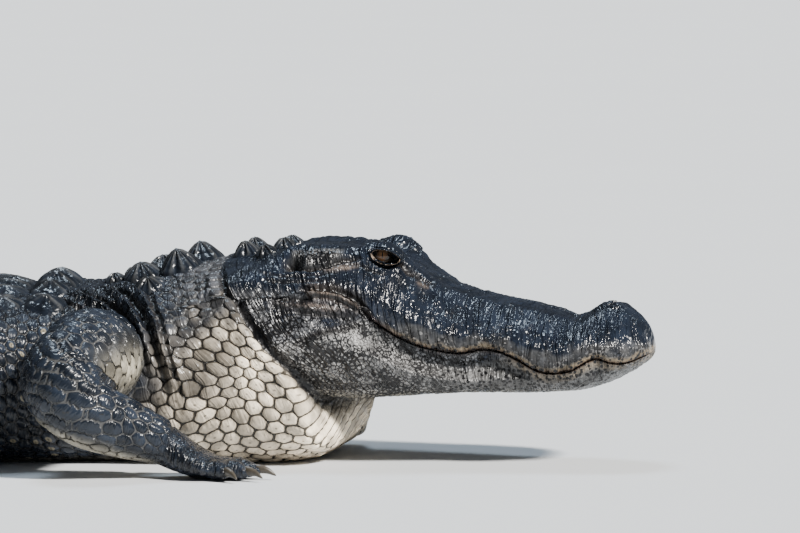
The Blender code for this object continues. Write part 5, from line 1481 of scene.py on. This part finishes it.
def lid_ring(name, sign):
    """The lids: a band round the almond of the eye, which slants down towards the snout. Across the band it
    rises from the eyeball over a thin rim, dips and swells as a fold, and its outer half comes down onto
    the nearest places of the skin and a little under them; the upper lid is the heavier and darker, and the
    lower has a broad pale rim."""
    turn = np.linspace(0, 2 * math.pi, 200, endpoint=False)
    v, a = np.meshgrid(np.linspace(0, 1, 40), turn, indexing="ij")
    upper = ease(np.sin(a), -0.15, 0.35)
    grow = 0.86 + v * (0.54 + 0.14 * upper - 0.30 * ease(np.cos(a), 0.0, 0.8))
    tall = LID_TALL - 0.0012 * upper
    x = LID_X + LID_LONG * np.sign(np.cos(a)) * np.abs(np.cos(a)) ** 0.92 * grow
    z = EYE_Z + tall * np.sin(a) * grow * (1 + 0.10 * v) - EYE_SLANT * (1 - 0.8 * v) * (x - LID_X)
    radius = bpy.context.scene.alligator_sizes.eye_radius
    ball = EYE_Y + np.sqrt(np.maximum(radius**2 - (x - EYE_X) ** 2 - (z - EYE_Z) ** 2, 0.006**2))
    brow = BROW_Y + BROW[1] * np.sqrt(np.maximum(
        1 - ((x - EYE_X) / (1.12 * BROW[0])) ** 2 - ((z - BROW_Z) / (1.05 * BROW[2])) ** 2, 0.10))
    profile = size_at(LOWER_LID, v) * (1 - upper) + size_at(UPPER_LID, v) * upper
    profile = profile + 0.0005 * np.sin(26 * a + 4 * np.sin(3 * a)) * ease(v, 0.25, 0.4)
    settle = ease(v, 0.0, 0.2)
    out = ball * (1 - settle) + np.maximum(brow, ball) * settle + profile
    points = to_world(-x, sign * out, z)

    k = skin()
    close = (np.abs(k.s + LID_X) < 0.045) & (sign * k.side > 0.02) & (k.z > 0.21)
    body, away = k.points[close], grid_normals(k.points)[close]
    outer = points[v > 0.5]
    apart = (outer**2).sum(1)[:, None] + (body**2).sum(1)[None] - 2 * outer @ body.T
    nearest = apart.argmin(1)
    settle = ease(v[v > 0.5], 0.50, 0.95)[:, None]
    points[v > 0.5] = outer * (1 - settle) + (body[nearest] - LID_SUNK * away[nearest]) * settle
    faces = grid_faces(*v.shape)
    if sign < 0:
        faces = faces[:, ::-1]

    colours = bpy.context.scene.alligator_colours
    dark, pale = np.array(colours.snout[:]), np.array(colours.lid[:])
    width = 0.10 + 0.20 * (1 - upper)
    rim = (1 - ease(v, width, width + 0.05)) * ease(v, 0.03, 0.08) * (1 - 0.25 * upper)
    rim = rim * (0.55 + 0.9 * clouds(a * 9, v * 12, 62, 2))
    rear = 1 - 0.85 * bell(np.abs(a - math.pi), 0.0, 0.55) * (1 - ease(v, 0.25, 0.5))
    colour = dark * 0.8 + (pale - dark) * (rim * rear)[..., None]
    uv = corner_uv(np.stack([a / (2 * math.pi), v], -1).reshape(-1, 2), [faces])
    obj = add_mesh(name, points.reshape(-1, 3), [faces], [hide()], uv=uv, attributes={
        "hide_colour": colour.reshape(-1, 3), "gloss": np.full(v.size, 0.9)})
    return finish_piece(obj, "back_skin")


def claw_mesh(root, way, radius, length):
    """A claw: ovals along a curve that bends down to the ground, tapering to a blunt point."""
    t = np.linspace(0, 1, 14)
    reach = length * (-0.35 + 1.35 * t)
    drop = length * size_at([(0, 0.10), (0.33, 0.12), (0.7, 0.01), (1, -0.22)], t)
    path = np.array(root) + np.array(way) * reach[:, None] + np.array([0, 0, 1.0]) * drop[:, None]
    size = radius * size_at([(0, 1.0), (0.33, 0.95), (0.7, 0.60), (0.92, 0.28), (1, 0.10)], t)
    path[:, 2] = np.maximum(path[:, 2], size + 0.0004)
    return tube(path, 0.8 * size, size, 14)


def horn_material():
    """Claw horn: dark grey-brown with lighter cloudy marks, slightly uneven, with a dull polish."""
    material = bpy.data.materials.new("alligator_claw")
    material.use_nodes = True
    nodes, links = material.node_tree.nodes, material.node_tree.links
    shader = nodes["Principled BSDF"]
    place = nodes.new("ShaderNodeTexCoord").outputs["Object"]
    noise = nodes.new("ShaderNodeTexNoise")
    noise.inputs["Scale"].default_value = 220
    noise.inputs["Detail"].default_value = 5
    links.new(place, noise.inputs["Vector"])
    ramp = nodes.new("ShaderNodeValToRGB")
    colours = bpy.context.scene.alligator_colours
    ramp.color_ramp.elements[0].color = (*colours.claw, 1)
    ramp.color_ramp.elements[1].color = (*colours.claw_mark, 1)
    links.new(noise.outputs["Fac"], ramp.inputs["Fac"])
    links.new(ramp.outputs["Color"], shader.inputs["Base Color"])
    bump = nodes.new("ShaderNodeBump")
    bump.inputs["Strength"].default_value = 0.2
    bump.inputs["Distance"].default_value = 0.0008
    links.new(noise.outputs["Fac"], bump.inputs["Height"])
    links.new(bump.outputs["Normal"], shader.inputs["Normal"])
    shader.inputs["Roughness"].default_value = 0.35
    return material


# The view: the point looked at, ahead of the skull's rear edge, how wide it is there in metres, and the
# camera's distance, rise and sensor; the places of the lights from that point; the floor
VIEW_AHEAD, VIEW_SIDE, VIEW_HEIGHT, VIEW_WIDTH = 0.109, -0.1, 0.2256, 0.92
CAMERA_DISTANCE, CAMERA_RISE, CAMERA_SENSOR = 9, math.radians(5), 36
KEY_PLACE, TOP_PLACE = (2.1, -1.7, 2.4), (-0.4, 1.2, 3.0)
FLOOR_HALF, FLOOR_HEIGHT = 30, -0.0006

# The lengths of the skin: start and end along s, finish, and the nodes that each stands for
SKIN_PIECES = [
    ("skin_snout", -0.411, -0.16, "back_skin", ("head", "lower_jaw")),
    ("skin_head", -0.16, 0.13, "jaw_skin", ()),
    ("skin_neck", 0.13, 0.40, "neck_skin", ("neck",)),
    ("skin_chest", 0.40, 0.80, "back_skin", ("torso",)),
    ("skin_trunk", 0.80, 1.22, "back_skin", ()),
    ("skin_tail_base", 1.22, 1.90, "back_skin", ("tail_base",)),
    ("skin_tail_middle", 1.90, 2.55, "back_skin", ("tail_middle",)),
    ("skin_tail_tip", 2.55, 3.2, "back_skin", ("tail_tip",)),
]


def length_property(name, description, value):
    """A length in metres."""
    return FloatProperty(name=name, description=description, default=value, unit="LENGTH", subtype="DISTANCE",
                         precision=4)


def colour_property(name, description, value):
    """A colour."""
    return FloatVectorProperty(name=name, description=description, default=value, subtype="COLOR", size=3,
                               min=0.0, max=1.0)


class AlligatorSizes(bpy.types.PropertyGroup):
    """Sizes that a user may change."""

    eye_radius: length_property("Eye radius", "Radius of each eyeball", 0.0142)
    scale_relief: FloatProperty(
        name="Scale relief", description="How strongly the scales stand out, 1 as on the real animal",
        default=1.0, min=0.0, max=2.0, subtype="FACTOR")
    claw_length: length_property("Claw length", "Length of each claw", 0.021)
    claw_radius: length_property("Claw radius", "Radius of each claw at its root", 0.0055)
    leg_grain: length_property("Leg grain", "Cube size to which the legs' surfaces are worked out", 0.0019)
    plate_spokes: IntProperty(
        name="Plate spokes", description="Corners round each bony plate", default=26, min=8)


class AlligatorColours(bpy.types.PropertyGroup):
    """Colours that a user may change."""

    dark: colour_property("Back", "The back, the flanks' ground and the legs", (0.011, 0.015, 0.023))
    snout: colour_property("Snout", "The top of the head and the snout", (0.009, 0.013, 0.022))
    tan: colour_property("Lips", "The sides of the jaws towards the lips", (0.215, 0.165, 0.105))
    grey: colour_property("Jowl", "The jowl and the lower jaw", (0.300, 0.295, 0.290))
    cream: colour_property("Plates", "The plates of the neck", (0.900, 0.770, 0.590))
    # Grooves: the skin between the scales, and the painted shade in the head's grooves, pits and crease
    groove: colour_property("Grooves", "The skin between the scales", (0.012, 0.010, 0.009))
    fold: colour_property("Folds", "The bare folds behind the mouth", (0.300, 0.235, 0.190))
    rust: colour_property("Mouth", "The seam of the mouth", (0.045, 0.024, 0.016))
    belly: colour_property("Belly", "The belly", (0.500, 0.450, 0.340))
    horn: colour_property("Keels", "The worn keels of the plates", (0.130, 0.128, 0.120))
    lid: colour_property("Lid rims", "The rims of the eyelids", (0.480, 0.360, 0.260))
    spot: colour_property("Spots", "Pale spots on single plates of the flank", (0.30, 0.26, 0.18))
    pore: colour_property("Pores", "The pore in the middle of a plate", (0.02, 0.018, 0.015))
    gap: colour_property("Gaps", "Dark lines between plates", (0.008, 0.007, 0.006))
    web: colour_property("Pale gaps", "Pale lines between plates", (0.13, 0.13, 0.13))
    mark: colour_property("Marks", "The speckles and the network of the jaws", (0.006, 0.006, 0.007))
    iris: colour_property("Iris", "The iris round the pupil", (0.200, 0.100, 0.040))
    iris_edge: colour_property("Iris edge", "The outer part of the iris", (0.070, 0.036, 0.018))
    pupil: colour_property("Pupil", "The pupil and the back of the eyeball", (0.004, 0.003, 0.003))
    eye_white: colour_property("Eyeball", "The eyeball outside the iris", (0.012, 0.009, 0.007))
    claw: colour_property("Claws", "The claws", (0.014, 0.012, 0.010))
    claw_mark: colour_property("Claw marks", "Lighter marks in the claws", (0.085, 0.070, 0.050))


class AlligatorStage(bpy.types.PropertyGroup):
    """Light and floor."""

    key: FloatProperty(name="Key light", description="Strength of the main light", default=9.0)
    key_angle: FloatProperty(
        name="Key width", description="How wide the main light looks from the model",
        default=math.radians(8), subtype="ANGLE")
    key_colour: colour_property("Key colour", "The main light's colour", (1.0, 0.97, 0.92))
    top: FloatProperty(name="Top light", description="Strength of the light from above", default=1.6)
    top_angle: FloatProperty(
        name="Top width", description="How wide the light from above looks from the model",
        default=math.radians(16), subtype="ANGLE")
    top_colour: colour_property("Top colour", "The colour of the light from above", (0.72, 0.86, 1.0))
    sky: FloatProperty(name="Surround", description="Strength of the even light from all round", default=0.17)
    sky_colour: colour_property("Surround colour", "The colour of that light", (0.78, 0.86, 0.97))
    floor: colour_property("Floor", "The plain floor", (0.66, 0.68, 0.70))


def hide():
    """The hide material, made once."""
    return bpy.data.materials.get("alligator_hide") or hide_material("alligator_hide")


def skin_piece(name, rows, points, normals, shown, slot, nodes):
    """One length of the skin from its rings, with its end closed by a fan where it is the skin's first or
    last ring. The rings that two lengths share have the same points and normals."""
    columns, last = points.shape[1], len(points) - 1
    piece, out = points[rows].reshape(-1, 3), normals[rows].reshape(-1, 3)
    extra = {key: values[rows].reshape(len(piece), *values.shape[2:]) for key, values in shown.items()}
    faces, uv = [grid_faces(len(rows), columns)], [grid_uv(len(rows), columns)]
    for row, inner in ((0, 6), (len(rows) - 1, -6)):
        if rows[row] not in (0, last):
            continue
        tip = points[rows[row]].mean(0)
        ahead = tip - points[rows[row] + inner].mean(0)
        base = np.arange(columns) + row * columns
        apex = np.full(columns, len(piece))
        fan = (apex, np.roll(base, -1), base) if row else (apex, base, np.roll(base, -1))
        faces.append(np.stack(fan, -1))
        uv.append(np.full((columns * 3, 2), 0.5 if row else 0.0))
        piece = np.concatenate([piece, tip[None]])
        out = np.concatenate([out, (ahead / np.linalg.norm(ahead))[None]])
        extra = {key: np.concatenate([values, values[row * columns][None]]) for key, values in extra.items()}
    obj = add_mesh(name, piece, faces, [hide()], normals=out, uv=np.concatenate(uv), attributes=extra)
    finish_piece(obj, slot, *nodes)


class ALLIGATOR_OT_skin(bpy.types.Operator):
    """Makes the one skin of the head, neck, trunk and tail, in lengths that share their edges"""

    bl_idname = "alligator.skin"
    bl_label = "Skin"

    def execute(self, context):
        k = skin()
        region = skin_regions(k)
        tile = plate_rows(k, region)
        height, edge = skin_scales(k, region, tile)
        head_rise, head_shade, pale = head_relief(k)
        fold_rise, fold_shade = crease_relief(k)
        amount = context.scene.alligator_sizes.scale_relief
        points = k.points + grid_normals(k.points) * ((head_rise + fold_rise) * k.free)[..., None]
        points = points + grid_normals(points) * (amount * height * k.free)[..., None]
        points[..., 2] = np.maximum(points[..., 2], 0)
        normals = grid_normals(points)
        # Painted shade from the head's grooves, pits and crease darkens the colour
        colour, marks, gloss, spot = skin_colours(k, region, edge, np.maximum(head_shade, fold_shade), pale)
        shown = {"hide_colour": colour, "tile": tile, "marks": marks, "gloss": gloss, "spot": spot}
        for name, start, end, slot, nodes in SKIN_PIECES:
            rows = np.flatnonzero((k.stations >= start - 1e-9) & (k.stations < end))
            rows = np.arange(rows[0], min(rows[-1] + 2, len(k.stations)))
            skin_piece(name, rows, points, normals, shown, slot, nodes)
        return {"FINISHED"}


class ALLIGATOR_OT_plates(bpy.types.Operator):
    """Sets the bony plates on the nape, the back and the tail"""

    bl_idname = "alligator.plates"
    bl_label = "Plates"

    def execute(self, context):
        spokes = context.scene.alligator_sizes.plate_spokes
        nape = [(s - stagger * (sign > 0), sign * side, *sizes, *NAPE_FORM)
                for scutes, stagger in ((NAPE_SCUTES, NAPE_STAGGER), (SKULL_SCUTES, 0.0))
                for s, side, *sizes in scutes for sign in (-1, 1)]
        plates("nape_plates", nape, "neck_skin", 3 * spokes, rings=20, ribs=1.0, cone=0.8)
        plates("back_plates", trunk_plate_table(), "back_skin", spokes, ribs=0.9, cone=0.45)
        plates("tail_plates", tail_plate_table(), "back_skin", spokes)
        return {"FINISHED"}


class ALLIGATOR_OT_legs(bpy.types.Operator):
    """Makes the four legs with their feet, and the claws on the first three toes of each"""

    bl_idname = "alligator.legs"
    bl_label = "Legs and claws"

    def execute(self, context):
        sizes = context.scene.alligator_sizes
        fore = (FORE_UPPER, FORE_FOOT, FORE_TOES, FORE_TOE_RADIUS)
        hind = (HIND_UPPER, HIND_FOOT, HIND_TOES, HIND_TOE_RADIUS)
        claws = []
        for side, sign in (("right", -1), ("left", 1)):
            for end, form, webbed, grain in (("fore", fore, False, 1.0), ("hind", hind, True, 1.3)):
                claws += leg(f"skin_{end}leg_{side}", *form, sign, webbed, grain * sizes.leg_grain,
                             f"{end}leg_{side}", f"{end}foot_{side}")
        parts = [claw_mesh(root, way, sizes.claw_radius, sizes.claw_length) for root, way in claws]
        finish_piece(add_mesh("claws", *joined(parts), [horn_material()]), "leg_skin")
        return {"FINISHED"}


class ALLIGATOR_OT_eyes(bpy.types.Operator):
    """Sets the eyeballs and lays the lids round them"""

    bl_idname = "alligator.eyes"
    bl_label = "Eyes and lids"

    def execute(self, context):
        material = eye_material()
        for side, sign in (("right", -1), ("left", 1)):
            eyeball("eyeball_" + side, sign, material, "eye_" + side)
            lid_ring("lids_" + side, sign)
        return {"FINISHED"}


def make_floor(colour):
    """A plain pale floor, just under the model, whose tone hardly changes."""
    u, v = np.meshgrid(np.linspace(-1, 1, 41), np.linspace(-1, 1, 41), indexing="ij")
    points = np.stack([FLOOR_HALF * u, FLOOR_HALF * v, np.full(u.shape, FLOOR_HEIGHT)], -1).reshape(-1, 3)
    material = bpy.data.materials.new("plain_floor")
    material.use_nodes = True
    nodes, links = material.node_tree.nodes, material.node_tree.links
    grain = nodes.new("ShaderNodeTexNoise")
    grain.inputs["Scale"].default_value = 3.0
    links.new(nodes.new("ShaderNodeTexCoord").outputs["Object"], grain.inputs["Vector"])
    tone = nodes.new("ShaderNodeValToRGB")
    tone.color_ramp.elements[0].color = (*[0.97 * c for c in colour], 1)
    tone.color_ramp.elements[1].color = (*colour, 1)
    links.new(grain.outputs["Fac"], tone.inputs["Fac"])
    links.new(tone.outputs["Color"], nodes["Principled BSDF"].inputs["Base Color"])
    nodes["Principled BSDF"].inputs["Roughness"].default_value = 0.9
    add_mesh("floor", points, [sheet_faces(*u.shape)], [material])


def place_facing(name, data, place, target):
    """Adds a light or a camera at this place, looking at the target."""
    obj = bpy.data.objects.new(name, data)
    bpy.context.scene.collection.objects.link(obj)
    obj.location = place
    obj.rotation_euler = (target - place).to_track_quat("-Z", "Y").to_euler()
    return obj


class ALLIGATOR_OT_stage(bpy.types.Operator):
    """Sets the floor, the lights and the camera"""

    bl_idname = "alligator.stage"
    bl_label = "Stage"

    def execute(self, context):
        stage = context.scene.alligator_stage
        make_floor(stage.floor)
        world = context.scene.world or bpy.data.worlds.new("studio")
        context.scene.world = world
        world.use_nodes = True
        background = world.node_tree.nodes["Background"]
        background.inputs["Color"].default_value = (*stage.sky_colour, 1)
        background.inputs["Strength"].default_value = stage.sky
        target = Vector((float(to_world(0.0, 0.0, 0.0)[0]) + VIEW_AHEAD, VIEW_SIDE, VIEW_HEIGHT))
        for name, strength, place, angle, colour in (
                ("key", stage.key, KEY_PLACE, stage.key_angle, stage.key_colour),
                ("top", stage.top, TOP_PLACE, stage.top_angle, stage.top_colour)):
            light = bpy.data.lights.new(name, "SUN")
            light.energy, light.angle, light.color = strength, angle, colour
            place_facing(name, light, target + Vector(place), target)
        camera = bpy.data.cameras.new("camera")
        camera.sensor_width, camera.clip_end = CAMERA_SENSOR, 80
        camera.lens = CAMERA_SENSOR * CAMERA_DISTANCE / VIEW_WIDTH
        away = Vector((0, -math.cos(CAMERA_RISE), math.sin(CAMERA_RISE)))
        context.scene.camera = place_facing("camera", camera, target + away * CAMERA_DISTANCE, target)
        return {"FINISHED"}


class ALLIGATOR_PT_panel(bpy.types.Panel):
    """The sizes, the colours and a button for each group of pieces"""

    bl_idname = "ALLIGATOR_PT_panel"
    bl_label = "American alligator"
    bl_space_type = "VIEW_3D"
    bl_region_type = "UI"
    bl_category = "Alligator"

    def draw(self, context):
        scene = context.scene
        for group in (scene.alligator_sizes, scene.alligator_colours, scene.alligator_stage):
            for key in group.bl_rna.properties.keys():
                if key not in ("rna_type", "name"):
                    self.layout.prop(group, key)
        for operator in OPERATORS:
            self.layout.operator(operator.bl_idname)


OPERATORS = (ALLIGATOR_OT_skin, ALLIGATOR_OT_plates, ALLIGATOR_OT_legs, ALLIGATOR_OT_eyes, ALLIGATOR_OT_stage)
CLASSES = (AlligatorSizes, AlligatorColours, AlligatorStage, *OPERATORS, ALLIGATOR_PT_panel)


def register():
    for made in CLASSES:
        bpy.utils.register_class(made)
    bpy.types.Scene.alligator_sizes = PointerProperty(type=AlligatorSizes)
    bpy.types.Scene.alligator_colours = PointerProperty(type=AlligatorColours)
    bpy.types.Scene.alligator_stage = PointerProperty(type=AlligatorStage)


def unregister():
    for key in ("alligator_sizes", "alligator_colours", "alligator_stage"):
        delattr(bpy.types.Scene, key)
    for made in reversed(CLASSES):
        bpy.utils.unregister_class(made)


def main():
    """Registers the classes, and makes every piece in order."""
    register()
    for operator in OPERATORS:
        group, name = operator.bl_idname.split(".")
        getattr(getattr(bpy.ops, group), name)()


if __name__ == "__main__":
    main()
